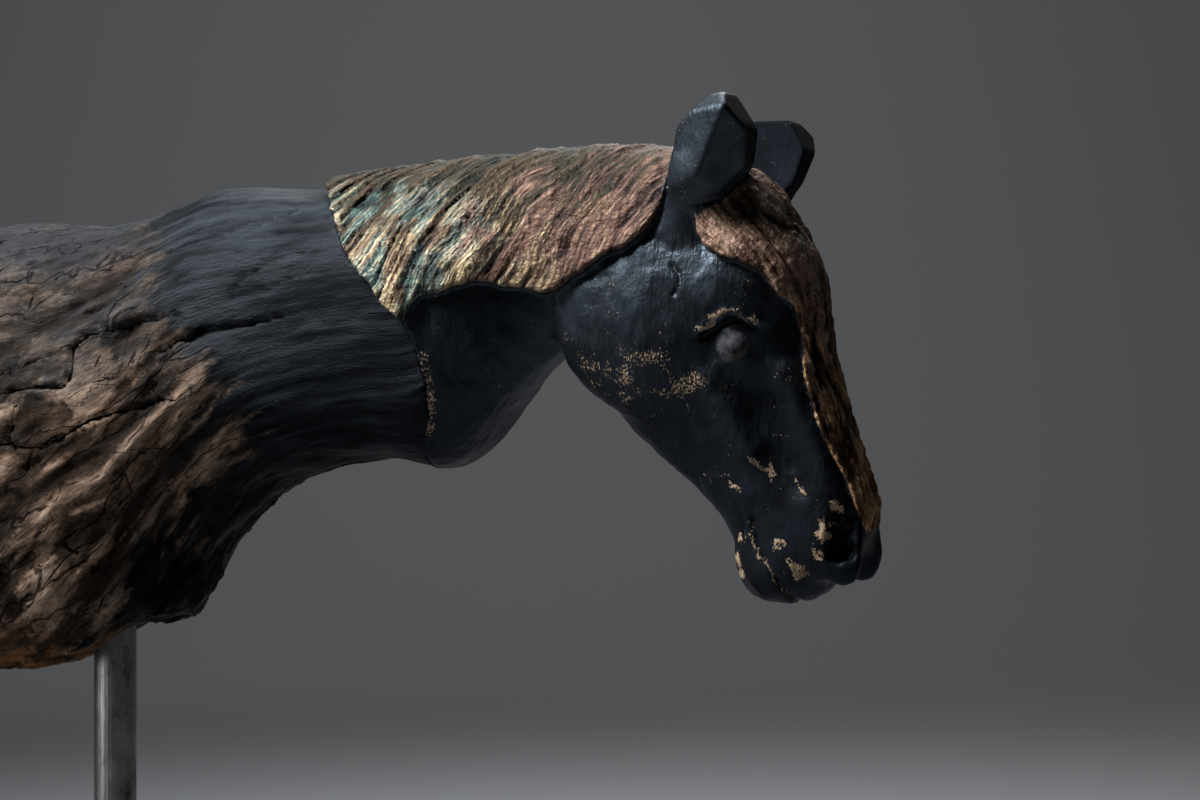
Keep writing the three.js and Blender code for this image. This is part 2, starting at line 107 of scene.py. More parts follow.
# Lines raised on or pressed into the face, as t and u, with height and width
LID = [(28.0, -4.2), (26.4, 0.6), (25.7, 4.6), (27.4, 7.6), (30.6, 9.6)]
LID_CREASE = [(29.6, -4.4), (28.5, 0.6), (28.2, 4.6), (29.7, 7.4), (32.4, 9.0)]
LOWER_LID = [(37.2, -3.2), (39.4, 1.4), (38.6, 6.0)]
MOUTH = [(77.4, -11.7), (84.8, -12.4), (90.4, -11.5), (97.5, -10.9), (104, -10.4)]
FOREHEAD_CRACK = [(9.5, -4.4), (12.4, -3.4), (15.1, -4.0), (16.7, -6.7)]
FACE_LINES = [(LID, 0.8, 1.2), (LID_CREASE, -1.5, 0.85), (LOWER_LID, 0.35, 1.1), (MOUTH, -1.3, 0.85),
              (FOREHEAD_CRACK, -0.7, 0.5)]

# The ears: flat facets as forward, out, up and distance from the ear's middle
EAR_FACETS = [(-1, 0, -0.05, 7.2), (0, 0, 1, 14), (0.78, 0, 0.62, 12), (1, 0, 0, 11.5),
              (0.82, 0, -0.57, 12), (-0.8, 0, -0.6, 10.4), (-0.42, 0.88, 0.12, 7.1), (0.72, 0.66, -0.2, 9.8),
              (-0.3, 0.55, 0.78, 11.2), (0, -1, 0, 7.5), (0, 0.45, -0.9, 12), (0, 0, -1, 13)]
EAR_CHAMFER = (-0.74, 0, 0.67)
EAR_EDGE_ROUNDING = 1
EAR_FORWARD_LEAN = 0.22
# Each ear's side, middle, lean, size and distance of its chamfer
EARS = [(-1, (185.8, 18.5, 224.5), 0.2, 1.0, 9.3), (1, (191, 18, 221.5), 0.3, 0.92, 15)]
EAR_STALK_ROOT = (-7, -6, -19)
EAR_STALK_TIP = (-2, -1, -6)
EAR_STALK_RADIUS = 6.5
EAR_BLEND = 4

# The mane: its lower edge along the neck, how far it stands proud, and how its strands fall
MANE_EDGE = [[65.5, 232], [72, 221], [78.5, 214], [83, 208.5], [88.5, 199], [96, 190], [104.5, 180.5],
             [109, 185.5], [118, 189.5], [129, 190], [142, 188], [150, 192], [158, 197], [168, 202],
             [174, 211], [177, 226], [184, 240]]
MANE_THICKNESS = 2.4
MANE_STRAND_DEPTH = 2.2
MANE_STEP = 1.3
MANE_END_DEPTH = 1.3
MANE_FRONT = (184, 6)
FAR_SIDE_LIFT = 9
FAR_SIDE_FADE = 12
CRUMBLY_START = (122, 34)

# Strands: pitch, slant and bend, and their grooves as height, steepness, number and length
STRAND_PITCH = 4.4
STRAND_SLANT = 0.5
STRAND_BEND = 11.7
STRAND_BEND_DEPTH = 8
STRAND_GROOVES = (0.42, 2.6, 1.15, 26)
FINE_GROOVES = (0.3, 2.4, 3.1, 13)
STRAND_ROUNDNESS = 0.7
STRAND_MIDDLE = 0.4
CLUMP_WIDTH = 1.6
CLUMP_LENGTH = 9
CLUMP_HEIGHT = 0.45
GROOVE_FLOOR = 0.1
BROAD_STRANDS = 1.9
BROAD_FLOOR = 0.25
BROAD_HEIGHT = 0.6
MANE_SEED = 11
BROAD_SEED = 13
FORELOCK_SEED = 29

# The forelock, which runs on down the face as a blaze: its edge as [t, u]
FORELOCK_EDGE = [[-12, 3], [0, 4.8], [6, 4.8], [12.5, 9], [16, 12.6], [20, 15.8], [29, 18.4], [37, 17.6],
                 [48, 15], [64, 13.6], [79, 14.6], [90, 13.6], [96, 12]]
FORELOCK_START = (-14, 6)
FORELOCK_END = (96, 2)
FORELOCK_THICKNESS = [[-12, 2.6], [20, 2.4], [50, 1.9], [70, 1.6], [84, 1], [92, 0.2]]
FORELOCK_STRAND_DEPTH = 2.0
FORELOCK_PITCH = 6.5
RAGGED_END = (50, 20)
BLAZE_START = (22, 22)
BLAZE_CALM = 0.55
FACE_STRAND_RADIUS = 22
FACE_STRAND_AXIS = 6
FACE_STRAND_RANGE = (-10, 45)
FACE_STRAND_DRAW = 55
HAIR_REACH = 4.5
HAIR_MARGIN = 4

# Rough textures: height in millimetres, size of their features, number of layers and seed
MANE_WANDER = [(2.4, (12, 14, 12), 1, 3), (0.5, (5, 8, 5), 1, 4)]
MANE_ENDS = (0.9, (5, 9, 5), 1, 17)
FACE_WANDER = (1.1, (11, 6, 11), 1, 5)
FORELOCK_RAGS = (1.1, (4.5, 8, 4.5), 1, 23)
BLAZE_GRAIN = (0.5, (2.4, 5, 1), 3, 31)
NOSTRIL_RAGS = (0.9, (2.6, 2.6, 4), 1, 37)
CRACK_WANDER = (0.8, (4, 30, 4), 1, 41)
CRACK_SWELL = (0.6, (9, 1, 9), 1, 47)
GRAIN_WANDER = (3.5, (34, 17, 17), 1, 59)
WOOD_LUMPS = (0.8, (26, 13, 13), 2, 61)
WOOD_CHIPS = (2.2, (15, 7, 7), 3, 63)
WOOD_FIBRES = (0.12, (9, 2.2, 2.2), 2, 67)
BLOCK_WAVES = (0.8, (30, 14, 14), 2, 71)
BLOCK_SHIFTS = (0.7, (14, 9, 9), 1, 72)
STAIN_RAGS = [(8, (14, 8, 8), 1, 73), (5, (5, 3.5, 3.5), 1, 74)]
CHECK_GAPS = (1, (25, 12, 12), 1, 75)
WOOD_PITS = (1, (8, 4.5, 4.5), 1, 77)
WOOD_PLANED = (0.7, (20, 20, 13), 2, 79)
CLAY_LUMPS = (0.26, (6, 6, 6), 2, 81)
CLAY_GRAIN = (0.12, (1.7, 1.7, 3.4), 1, 83)
HAIR_CRUMBS = (0.16, (1.6, 1.6, 1.6), 1, 87)
WEAR_WANDER_DOWN = (1.3, (1.9, 1.9, 5), 1, 91)
WEAR_WANDER_FORWARD = (1.3, (1.9, 1.9, 5), 1, 92)
WEAR_PATCHES = (0.4, (3.5, 3.5, 7), 1, 93)
NOISE_MULTIPLIERS = (374761393, 668265263, 2147483629)
NOISE_MIX = 1274126177
NOISE_BITS = 0xFFFFFFFF
NOISE_LOW_BITS = 0xFFFF

# Grain of the log, which follows its outline and climbs towards the neck
GRAIN_HEIGHT = 58
GRAIN_DEPTH = 42
GRAIN_CLIMB = 0.08
GRAIN_LOW_CLIMB = 0.17
GRAIN_CLIMB_BELOW = (0.35, 0.9)

# Cracks of the log as [x, z] on its near side, each with its width
CRACKS = [
    ([[-70, 160], [-40, 161.5], [-10.7, 162.5], [6.4, 164.1], [8.8, 168.2], [7.9, 175], [12.3, 177.7],
      [26, 181.2], [40.5, 183.8]], 0.45),
    ([[26.7, 169.5], [35.6, 173.5], [43.9, 177.5], [54.9, 180.2], [70.8, 182.7]], 0.55),
    ([[-60, 146], [-12, 148], [2, 147], [15, 154], [27, 157.5], [42, 161]], 0.4),
    ([[24, 179], [24.6, 175], [25, 171]], 0.4),
    ([[-6, 160], [-8, 150], [-2, 141]], 0.4),
    ([[24, 141], [26, 134], [22, 130]], 0.4),
    ([[12, 124], [8.8, 122], [9, 119], [12, 117.5]], 0.5),
]
CRACK_DEPTH = 1.8
CRACK_WALL = (0.4, 1.2)
CRACK_TIP = 0.3
CRACK_WIDENING = 0.7
CRACK_TAPER = 14
FAR_CRACK_SHARE = 0.6
LINE_LIMIT = 4

# Shallow tooled grooves in the black part of the log
GROOVES = [
    [[55, 184], [55.5, 190], [59, 193.5], [63, 196], [71, 198.8], [80, 199.8]],
    [[60, 190.6], [66, 188.9], [72, 192], [80, 194]],
    [[31, 200], [36, 202.5], [44, 203]],
    [[66, 176], [78, 180], [92, 182]],
    [[48, 206], [60, 208], [70, 212]],
]
GROOVE_DEPTH = 0.8
GROOVE_WIDTH = 1.2

BLOCK_HEIGHT = 8
BLOCK_LENGTH = 30
BLOCK_STAGGER = 7.3
BLOCK_END_SHARE = 1.4
BLOCK_EDGE = 1.8
BLOCK_STEP = 0.4
BLOCK_SEED = 78
CHECK_WIDTH = 1.5
CHECK_DEPTH = 0.5
CHECK_START = (-0.25, 0.5)
PLATE_STEP = 0.5
PLATE_EDGE = (0.7, 0.3)
PIT_EDGE = (0.4, 0.3)
PIT_DEPTH = 0.9
RELIEF_SINK = 0.3

# Where the black stain begins on the log, as [z, x], and the marks around it as start and fade, two of them
# painted shade low down
STAIN_EDGE = [[82, 2], [90, 9], [104, 18], [118, 29], [132, 40], [149, 53], [160, 55], [173, 46], [180, 37],
              [187, 30], [200, 26], [212, 22], [222, 16]]
STAIN_REACH = (-11, 22)
ROUGH_BELOW = (146, 16)
SMOKE_ABOVE = (190, 16)
SMOKE_BEHIND = (34, 24)
# The next two mark painted shade on the bare wood low down beside the stain
LOW_SHADE_REACH = (-11, 17)
LOW_SHADE_BELOW = (172, 20)
# The next two mark painted shade on the lower part of the black stain
UNDERSIDE_SHADE_REACH = (-8, 8)
UNDERSIDE_SHADE_BELOW = (150, 30)
RUST_BELOW = (98, 12)
RUST_BEHIND = (14, 16)

# Worn places on one side of the face, as t, u and reach, and worn lines as strength, half width and fade
CHEEK_WEAR = [(27, -33, 9), (31, -24, 14), (37, -13, 12)]
CHEEK_WEAR_STRENGTH = 0.42
CHEEK_WEAR_DOWN = 0.55
CHEEK_WEAR_FORWARD = 0.7
WORN_SPOTS = [(85.8, -7.0, 2.0), (90.5, -5.6, 1.2), (93.9, -5.2, 2.0), (81.8, 11.4, 1.8), (88.4, 5.0, 2.0),
              (92.4, 2.6, 1.7), (85.6, 6.6, 1.0), (84.9, -20.8, 1.6), (88.5, -21.5, 1.3), (80.0, -17.5, 1.0)]
WORN_SPOT_STRENGTH = 1.1
SCRATCHES = [((64.0, -13.6), (70.5, -11.4)), ((62.5, -4.6), (68.5, -2.0)), ((66.0, -1.0), (69.5, -3.4)),
             ((58.5, -20.5), (63.0, -19.0)), ((71.5, 3.5), (76.0, 5.0))]
SCRATCH_WEAR = (0.8, 0.15, 0.8)
LID_WEAR = (1.1, 0.4, 1.2)
LIP_WEAR = (0.85, 0.1, 0.9)
LIP_OFFSET = 0.9
LIP_END = (100, 6)
PATCHY_MIDDLE = 0.92
FAR_WEAR_SHARE = 0.75
SEAM_WEAR = (0.62, 1.2, 1.4)
SEAM_WEAR_ABOVE = (146, 10)
SEAM_WEAR_BELOW = (178, 8)

# Meshes: spacing of points, and the corners of the space that holds each piece
HEAD_CELL = 0.76
HEAD_SPACE = ((62, -40, 100), (234, 40, 246))
WOOD_CELL = 0.97
WOOD_SPACE = ((-92, -54, 74), (116, 54, 228))
SLAB = 16
CORNERS = [(a, b, c) for a in (0, 1) for b in (0, 1) for c in (0, 1)]
LEAST_SLOPE = 0.3
TINY = 1e-9
LEAST_RADIUS = 1e-6
LEAST_SHARE = 1e-3

# Where relief fades out at hidden edges, as start and fade, and how points are marked for the materials
WOOD_HIDDEN = (-0.9, 0.6)
HEAD_HIDDEN = (1.2, 0.8)
BORE_PLAIN = (0.4, 1.5)
BORE_PLAIN_TOP = 2
RELIEF_MIDDLE = 0.45
RELIEF_RANGE = 2.6
WOOD_LOW = 80
WOOD_HEIGHT = 130
EAR_REACH = (0.4, 1.5)
EAR_SMOOTHNESS = 0.25
EAR_INNER = (0.1, 0.4)
EAR_INNER_FORWARD = 0.4
# The whole far ear is made matt so it reads darker: painted shade
FAR_EAR_FADE = 4
EYE_EDGE = (0.1, 0.5)
FACE_SIDE = (-0.1, 0.2)
CRUMBLY_GAIN = 1.2
MANE_BACK = 78
MANE_LENGTH = 98
MANE_FALL = 34
BLAZE_LENGTH = 92

# Textures of the materials: scale, detail and roughness
# The wood's are plates, streaks, fibres, patches and grit
WOOD_TEXTURES = [((1 / 12, 1 / 6.5, 1 / 6.5), 9, 0.74), ((1 / 34, 1 / 5, 1 / 5), 5, 0.62),
                 ((1 / 8, 1 / 1.1, 1 / 1.1), 4, 0.65), ((1 / 42, 1 / 17, 1 / 17), 8, 0.68),
                 ((0.6, 1.1, 1.1), 4, 0.7)]
CHECK_SCALE = (1 / 22, 1 / 8, 1 / 8)
CHECK_WARP = (14, 9, 9)
CHECK_WARP_SCALE = 0.12
CLAY_TEXTURE = (420, 4, 0.6)
CLOUD_TEXTURE = (70, 3, 0.55)
CRUMB_TEXTURE = (800, 3, 0.6)
BRUSHED_TEXTURE = ((900, 900, 240), 3, 0.6)
HAIR_TEXTURE = ((1 / 0.9, 1 / 8, 1 / 2), 3, 0.6)
HAIR_BLOTCHES = ((1 / 5, 1 / 14, 1 / 9), 3, 0.5)
WEAR_SPECKS = ((2300, 2300, 1300), 3, 0.65)
WEAR_GROUPS = (190, 3, 0.6)
DRAWN_LINES = ((900, 900, 60), 4, 0.6)
ROD_SCUFFS = ((160, 160, 90), 4, 0.65)
PLATE_BLOOM = (60, 5, 0.6)
PLATE_GRAIN = (900, 3, 0.6)

# Colours of the log, some as stops along a ramp
GREY_WOOD = [(0.36, (0.03, 0.024, 0.021)), (0.48, (0.09, 0.071, 0.059)), (0.66, (0.172, 0.138, 0.116))]
BROWN_WOOD = [(0.36, (0.045, 0.029, 0.02)), (0.48, (0.205, 0.137, 0.096)), (0.66, (0.47, 0.34, 0.25))]
CHARRED_WOOD = [(0.3, (0.014, 0.014, 0.016)), (0.7, (0.075, 0.075, 0.085))]
# Painted shade on the bare wood low down beside the stain
LOW_SHADED_WOOD = [(0.3, (0.006, 0.005, 0.005)), (0.75, (0.06, 0.042, 0.03))]
STAINED_WOOD = [(0.35, (0.003, 0.0035, 0.0045)), (0.55, (0.009, 0.011, 0.014)), (0.72, (0.022, 0.026, 0.033))]
DARK_FIBRE = (0.035, 0.025, 0.018)
DARK_GRIT = (0.03, 0.022, 0.016)
PALE_GRIT = (0.4, 0.33, 0.27)
# Painted shade in the hollows of the bare wood's relief
HOLLOW_SHADE = (0.026, 0.019, 0.014)
# Painted shade inside the checks
CHECK_SHADE = (0.006, 0.0045, 0.0035)
RUST_BROWN = (0.24, 0.11, 0.04)
SMOKE_GREY = (0.03, 0.031, 0.037)
NICK_TAN = (0.11, 0.08, 0.055)
# Painted shade on the lower part of the black stain
UNDERSIDE_SHADE_BLACK = (0.004, 0.0032, 0.003)
# Painted shade inside the cracks
CRACK_SHADE = (0.002, 0.0016, 0.0013)
# Painted shade inside the tooled grooves
GROOVE_SHADE = (0.003, 0.003, 0.004)
WOOD_SHEEN = (0.7, 0.85, 1.0)

# Colours of the head, its hair, the rod, the plate and the stage
BLACK_PAINT = [(0.3, (0.004, 0.0045, 0.006)), (0.7, (0.011, 0.014, 0.019))]
# Bluish brush streaks: real brush marks in the paint, coloured as their painted sheen
BRUSHED_BLUE_SHEEN = (0.016, 0.024, 0.036)
PAINT_SHEEN = (0.62, 0.81, 1.0)
WORN_TAN = [(0.3, (0.26, 0.17, 0.1)), (0.65, (0.6, 0.45, 0.29))]
EYE_GREY = [(0.35, (0.018, 0.018, 0.021)), (0.65, (0.12, 0.12, 0.13))]
# Hair ramps run from a strand's groove to its crest: the near-black groove stops are painted shade, the
# palest crest stops painted highlight, over the patina's own colours
BRONZE = [(0.16, (0.03, 0.018, 0.012)), (0.36, (0.15, 0.092, 0.06)), (0.58, (0.38, 0.27, 0.17)),
          (0.8, (0.62, 0.48, 0.28)), (0.97, (0.95, 0.8, 0.5))]
TEAL = [(0.16, (0.02, 0.03, 0.026)), (0.34, (0.07, 0.15, 0.13)), (0.54, (0.25, 0.33, 0.28)),
        (0.76, (0.5, 0.46, 0.33)), (0.97, (0.9, 0.8, 0.55))]
MANE_COPPER = [(0.14, (0.022, 0.011, 0.008)), (0.45, (0.15, 0.08, 0.057)), (0.9, (0.44, 0.28, 0.2))]
OLIVE = [(0.15, (0.01, 0.01, 0.004)), (0.45, (0.042, 0.034, 0.017)), (0.9, (0.14, 0.09, 0.052))]
FORELOCK_COPPER = [(0.14, (0.016, 0.009, 0.006)), (0.45, (0.17, 0.095, 0.062)), (0.85, (0.44, 0.285, 0.205))]
GILT = [(0.1, (0.075, 0.036, 0.018)), (0.45, (0.29, 0.155, 0.075)), (0.85, (0.48, 0.3, 0.14))]
CRUMB_BROWN = (0.05, 0.038, 0.03)
ROD_STEEL = [(0.32, (0.07, 0.068, 0.065)), (0.45, (0.2, 0.2, 0.202)), (0.7, (0.3, 0.3, 0.304))]
PLATE_STEEL = [(0.35, (0.012, 0.012, 0.013)), (0.6, (0.03, 0.03, 0.032)), (0.75, (0.055, 0.047, 0.04))]
STAGE_GREY = (0.25, 0.253, 0.26)

# Stage and camera, in metres
CAMERA_TURN = math.radians(22)
CAMERA_PLACE = (0.4494, -0.7427, 0.160)
CAMERA_LENS = 90
SENSOR = 36
STAGE_HALF_WIDTH = 6.0
STAGE_FRONT = -6.0
STAGE_BACK = 1.0
STAGE_BEND = 0.8
STAGE_BEND_STEPS = 13
STAGE_HEIGHT = 3.2

# Lights: name, place and aim as seen from the camera, size, spread in degrees, power and colour
LIGHT_TARGET = (0.09, 0.0, 0.17)
LIGHTS = [
    ("key", (-0.62, -0.2, 0.72), (0, 0, 0), 0.45, 48, 1.75, (0.99, 0.99, 1.0)),
    ("rod_light", (-0.75, -0.3, -0.1), (-0.085, 0.03, -0.11), 0.2, 24, 0.032, (1.0, 0.99, 0.98)),
    ("overhead", (-0.2, 0.1, 0.95), (0, 0, 0), 0.8, 50, 0.4, (0.78, 0.9, 1.0)),
    ("backdrop_light", (0, 0.75, 1.0), (0, 1.5, 0.1), 1.2, 150, 4.3, (0.97, 0.985, 1.0)),
    ("far_side_fill", (0.12, 0.8, 0.78), (0, 0, -0.03), 0.6, 46, 0.42, (0.97, 0.985, 1.0)),
]
ROOM_COLOUR = (0.85, 0.92, 1.0)
ROOM_STRENGTH = 0.006


def through(knots):
    """A smooth curve through [position, value] knots, level past both ends."""
    xs, vs = np.array(knots, float).T
    slopes = np.zeros_like(vs)
    slopes[1:-1] = (vs[2:] - vs[:-2]) / (xs[2:] - xs[:-2])

    def curve(x):
        x = np.clip(x, xs[0], xs[-1])
        i = np.clip(np.searchsorted(xs, x, side="right") - 1, 0, len(xs) - 2)
        width = xs[i + 1] - xs[i]
        s = (x - xs[i]) / width
        rise = s * s * (3 - 2 * s)
        bend = width * s * (1 - s) * ((1 - s) * slopes[i] - s * slopes[i + 1])
        return vs[i] + (vs[i + 1] - vs[i]) * rise + bend

    return curve


log_top = through(LOG_TOP)
log_under = through(LOG_UNDER)
log_half_width = through(LOG_HALF_WIDTH)
face_front = through(FACE_FRONT)
face_back = through(FACE_BACK)
face_half_width = through(FACE_HALF_WIDTH)
mane_edge = through(MANE_EDGE)
forelock_edge = through(FORELOCK_EDGE)
forelock_thickness = through(FORELOCK_THICKNESS)
stain_edge = through(STAIN_EDGE)


def join(a, b, blend):
    h = np.maximum(blend - np.abs(a - b), 0) / blend
    return np.minimum(a, b) - h * h * blend / 4


def common(a, b, blend):
    """What two bodies share, with a rounded edge."""
    return -join(-a, -b, blend)


def cut(a, b, blend):
    """The first body without the second, with a rounded edge."""
    return -join(-a, b, blend)


def ramp(x, width):
    """Rises smoothly from 0 to 1 over a width."""
    s = np.clip(x / width, 0, 1)
    return s * s * (3 - 2 * s)


def past(value, start_and_fade):
    start, fade = start_and_fade
    return ramp(value - start, fade)


def short_of(value, start_and_fade):
    start, fade = start_and_fade
    return ramp(start - value, fade)


def ellipsoid(p, centre, radii):
    q = [(v - c) / r for v, c, r in zip(p, centre, radii)]
    near = np.sqrt(sum(v ** 2 for v in q))
    steep = np.sqrt(sum((v / r) ** 2 for v, r in zip(q, radii))) + TINY
    return near * (near - 1) / steep


def capsule(p, start, end, radius):
    axis = [b - a for a, b in zip(start, end)]
    rel = [v - a for v, a in zip(p, start)]
    reach = sum(a ** 2 for a in axis)
    s = np.clip(sum(r * a for r, a in zip(rel, axis)) / reach, 0, 1)
    return np.sqrt(sum((r - s * a) ** 2 for r, a in zip(rel, axis))) - radius


def swept(across, y, top, under, half_width, power):
    """A body swept along one axis, with a rounded section between its top and under lines."""
    middle = (top + under) / 2
    radius = np.sqrt((across - middle) ** 2 + y * y) + LEAST_RADIUS
    share = np.abs((across - middle) / ((top - under) / 2)) ** power + np.abs(y / half_width) ** power
    return radius * (1 - 1 / np.maximum(share ** (1 / power), LEAST_SHARE))


def lattice(ix, iy, iz, seed):
    """A repeatable value from -1 to 1 for each whole-number point."""
    h = ix * NOISE_MULTIPLIERS[0] + iy * NOISE_MULTIPLIERS[1] + iz * NOISE_MULTIPLIERS[2] + seed * NOISE_MIX
    h = h & NOISE_BITS
    h = ((h ^ (h >> 13)) * NOISE_MIX) & NOISE_BITS
    return ((h ^ (h >> 16)) & NOISE_LOW_BITS) / (NOISE_LOW_BITS / 2) - 1


def noise(x, y, z, seed):
    """Smooth noise from -1 to 1 with features about one unit wide."""
    cell = [np.floor(v).astype(np.int64) for v in (x, y, z)]
    part = [v - c for v, c in zip((x, y, z), cell)]
    fade = [s * s * s * (s * (6 * s - 15) + 10) for s in part]
    total = 0
    for corner in CORNERS:
        weight = 1
        for on, f in zip(corner, fade):
            weight = weight * (f if on else 1 - f)
        total = total + weight * lattice(*(c + on for c, on in zip(cell, corner)), seed)
    return total


def textured(x, y, z, texture):
    """The height of a rough texture, each of its layers half as wide and half as high as the one before."""
    height, (a, b, c), count, seed = texture
    x, y, z = x / a, y / b, z / c
    total = 0
    for n in range(count):
        total = total + noise(x * 2**n, y * 2**n, z * 2**n, seed + n) / 2**n
    return height * total


def side_of_line(a, b, line):
    """Distance in a plane to a line through several points, negative on its right hand side."""
    nearest = np.full(np.broadcast(a, b).shape, np.inf)
    for (a0, b0), (a1, b1) in zip(line, line[1:]):
        da, db = a1 - a0, b1 - b0
        s = np.clip(((a - a0) * da + (b - b0) * db) / (da * da + db * db), 0, 1)
        away = np.hypot(a - a0 - s * da, b - b0 - s * db)
        side = np.where(da * (b - b0) - db * (a - a0) < 0, -away, away)
        nearest = np.where(away < np.abs(nearest), side, nearest)
    return nearest


def line_distance(a, b, line):
    return np.abs(side_of_line(a, b, line))


def swell(x, y, z):
    around = np.arctan2(y, z - SWELL_AXIS_HEIGHT) * SWELL_RADIUS
    drift = SWELL_CLIMB * x + SWELL_DRIFT * np.sin(x / SWELL_LENGTH)
    across = np.sin((around + drift) / SWELL_PITCH * math.pi)
    return across * np.sin(x / SWELL_LENGTH * math.pi + around / SWELL_TWIST)


def log_field(x, y, z):
    d = swept(z, y, log_top(x), log_under(x), log_half_width(x), LOG_SECTION_POWER)
    for centre, radii in SHOULDER_LOBES:
        d = join(d, ellipsoid((x, y, z), centre, radii), LOBE_BLEND)
    d = join(d, ellipsoid((x, y, z), *CHEST_KNOB), LOBE_BLEND / 2)
    d = common(d, LOG_START - x, LOG_BROKEN_ROUNDING)
    d = common(d, x - LOG_END, LOG_INNER_ROUNDING)
    return d - SWELL_DEPTH * swell(x, y, z) * short_of(x, SWELL_END)


def face_axes(x, z):
    dx = x - HEAD_ORIGIN[0]
    dz = z - HEAD_ORIGIN[1]
    c = math.cos(HEAD_SLOPE)
    s = math.sin(HEAD_SLOPE)
    return dx * c - dz * s, dx * s + dz * c


def ear_field(x, y, z, side, middle, lean, size, chamfer):
    out = (y * side - middle[1]) / size
    up = (z - middle[2]) / size
    forward = (x - middle[0]) / size - EAR_FORWARD_LEAN * up
    out = out - lean * up
    d = None
    for a, b, c, distance in [*EAR_FACETS, (*EAR_CHAMFER, chamfer)]:
        facet = (a * forward + b * out + c * up) / math.hypot(a, b, c) - distance
        d = facet if d is None else common(d, facet, EAR_EDGE_ROUNDING)
    root = [m + offset for m, offset in zip(middle, EAR_STALK_ROOT)]
    tip = [m + offset for m, offset in zip(middle, EAR_STALK_TIP)]
    stalk = capsule((x, y * side, z), root, tip, EAR_STALK_RADIUS)
    return join(d * size, stalk, EAR_BLEND)


def seam_gap(x, z):
    """Signed distance ahead of the joint between log and head."""
    line = np.array(SEAM, float)[::-1]
    return (x - np.interp(z, line[:, 1], line[:, 0])) * SEAM_LEAN


def mane_flow(x, y, z):
    """Across and along the mane's strands, which leave the crest nearly level and turn down."""
    depth = np.maximum(log_top(x) + MANE_THICKNESS - z, 0)
    across = x + STRAND_SLANT * depth + STRAND_BEND * (1 - np.exp(-depth / STRAND_BEND_DEPTH))
    for texture in MANE_WANDER:
        across = across + textured(x, y, z, texture)
    return across, depth


def face_flow(t, u, y):
    """Across and along the strands that run down the face and draw together."""
    drawn = 1 + np.clip(t, *FACE_STRAND_RANGE) / FACE_STRAND_DRAW
    across = FACE_STRAND_RADIUS * np.arctan2(y, u + FACE_STRAND_AXIS) * drawn
    return across + textured(t, y, u, FACE_WANDER), t


def grooved(across, along, pitch, grooves, seed):
    """Rounded ridges with sharp, uneven grooves between them."""
    height, steep, count, length = grooves
    ridges = noise(across * count / pitch, along / length, 0 * across, seed)
    return height * np.clip(steep * np.abs(ridges), 0, 1) ** STRAND_ROUNDNESS


def strand_height(across, along, pitch, seed):
    """Strands in clumps, from 0 in a groove to 1 on a crest."""
    main = grooved(across, along, pitch, STRAND_GROOVES, seed)
    fine = grooved(across, along, pitch, FINE_GROOVES, seed + 2)
    clump = 0.5 + 0.5 * noise(across / (CLUMP_WIDTH * pitch), along / CLUMP_LENGTH, 0 * across, seed + 1)
    return np.clip(main + fine + CLUMP_HEIGHT * clump - GROOVE_FLOOR, 0, 1)


def mane_share(x, y, z):
    """How much of the mane there is at a point of the neck: 0 off it, 1 on it."""
    lift = FAR_SIDE_LIFT * ramp(y, FAR_SIDE_FADE)
    across, depth = mane_flow(x, y, z)
    ends = MANE_END_DEPTH * (strand_height(across, depth, STRAND_PITCH, MANE_SEED) - 0.5)
    ends = ends + textured(x, y, z, MANE_ENDS)
    return ramp(z - lift - mane_edge(x) + ends, MANE_STEP) * short_of(x, MANE_FRONT)


def forelock_share(t, u, y):
    """How much of the forelock there is at a point of the head: 0 off it, 1 on it."""
    ragged = textured(t, y, u, FORELOCK_RAGS) * short_of(t, RAGGED_END)
    inside = ramp(u - forelock_edge(t) + ragged, MANE_STEP) * short_of(t, FORELOCK_END)
    return inside * past(t, FORELOCK_START)


def mane_strands(x, y, z):
    across, depth = mane_flow(x, y, z)
    slim = strand_height(across, depth, STRAND_PITCH, MANE_SEED)
    broad = strand_height(across, depth, BROAD_STRANDS * STRAND_PITCH, BROAD_SEED)
    right = past(x, CRUMBLY_START)
    return slim * (1 - right) + (BROAD_FLOOR + BROAD_HEIGHT * broad) * right


def forelock_strands(t, u, y):
    across, along = face_flow(t, u, y)
    upper = strand_height(across, along, FORELOCK_PITCH, FORELOCK_SEED)
    lower = 0.5 + textured(across, along, 0 * across, BLAZE_GRAIN)
    down = past(t, BLAZE_START)
    return upper * (1 - down) + np.clip(lower, 0, 1) * down


def hair_thickness(x, y, z, t, u):
    strands = MANE_STRAND_DEPTH * (mane_strands(x, y, z) - STRAND_MIDDLE)
    mane = mane_share(x, y, z) * (MANE_THICKNESS + strands)
    calm = 1 - BLAZE_CALM * past(t, BLAZE_START)
    relief = FORELOCK_STRAND_DEPTH * calm * (forelock_strands(t, u, y) - STRAND_MIDDLE)
    forelock = forelock_share(t, u, y) * (forelock_thickness(t) + relief)
    return np.maximum(mane, forelock)


def skull_field(t, u, y):
    p = (t, u, np.abs(y))
    d = swept(u, y, face_front(t), face_back(t), face_half_width(t), HEAD_SECTION_POWER)
    d = common(d, np.maximum(HEAD_START - t, t - HEAD_LENGTH), HEAD_END_ROUNDING)
    for feature in (CHEEK, TEMPLE):
        d = join(d, ellipsoid(p, *feature), FEATURE_BLEND)
    for feature in (FACIAL_CREST, NASAL_RIDGE):
        d = join(d, capsule(p, *feature), FEATURE_BLEND)
    d = cut(d, capsule(p, *NASAL_HOLLOW), FEATURE_BLEND)
    d = cut(d, ellipsoid(p, *EYE_SOCKET), FEATURE_BLEND / 2)
    d = join(d, ellipsoid(p, *EYEBALL), FINE_BLEND)
    d = join(d, ellipsoid(p, *NOSTRIL_RIM), FEATURE_BLEND)
    d = cut(d, capsule(p, *NOSTRIL) + textured(t, u, y, NOSTRIL_RAGS), FINE_BLEND)
    for line, height, width in FACE_LINES:
        d = d - height * np.exp(-((line_distance(t, u, line) / width) ** 2))
    return d


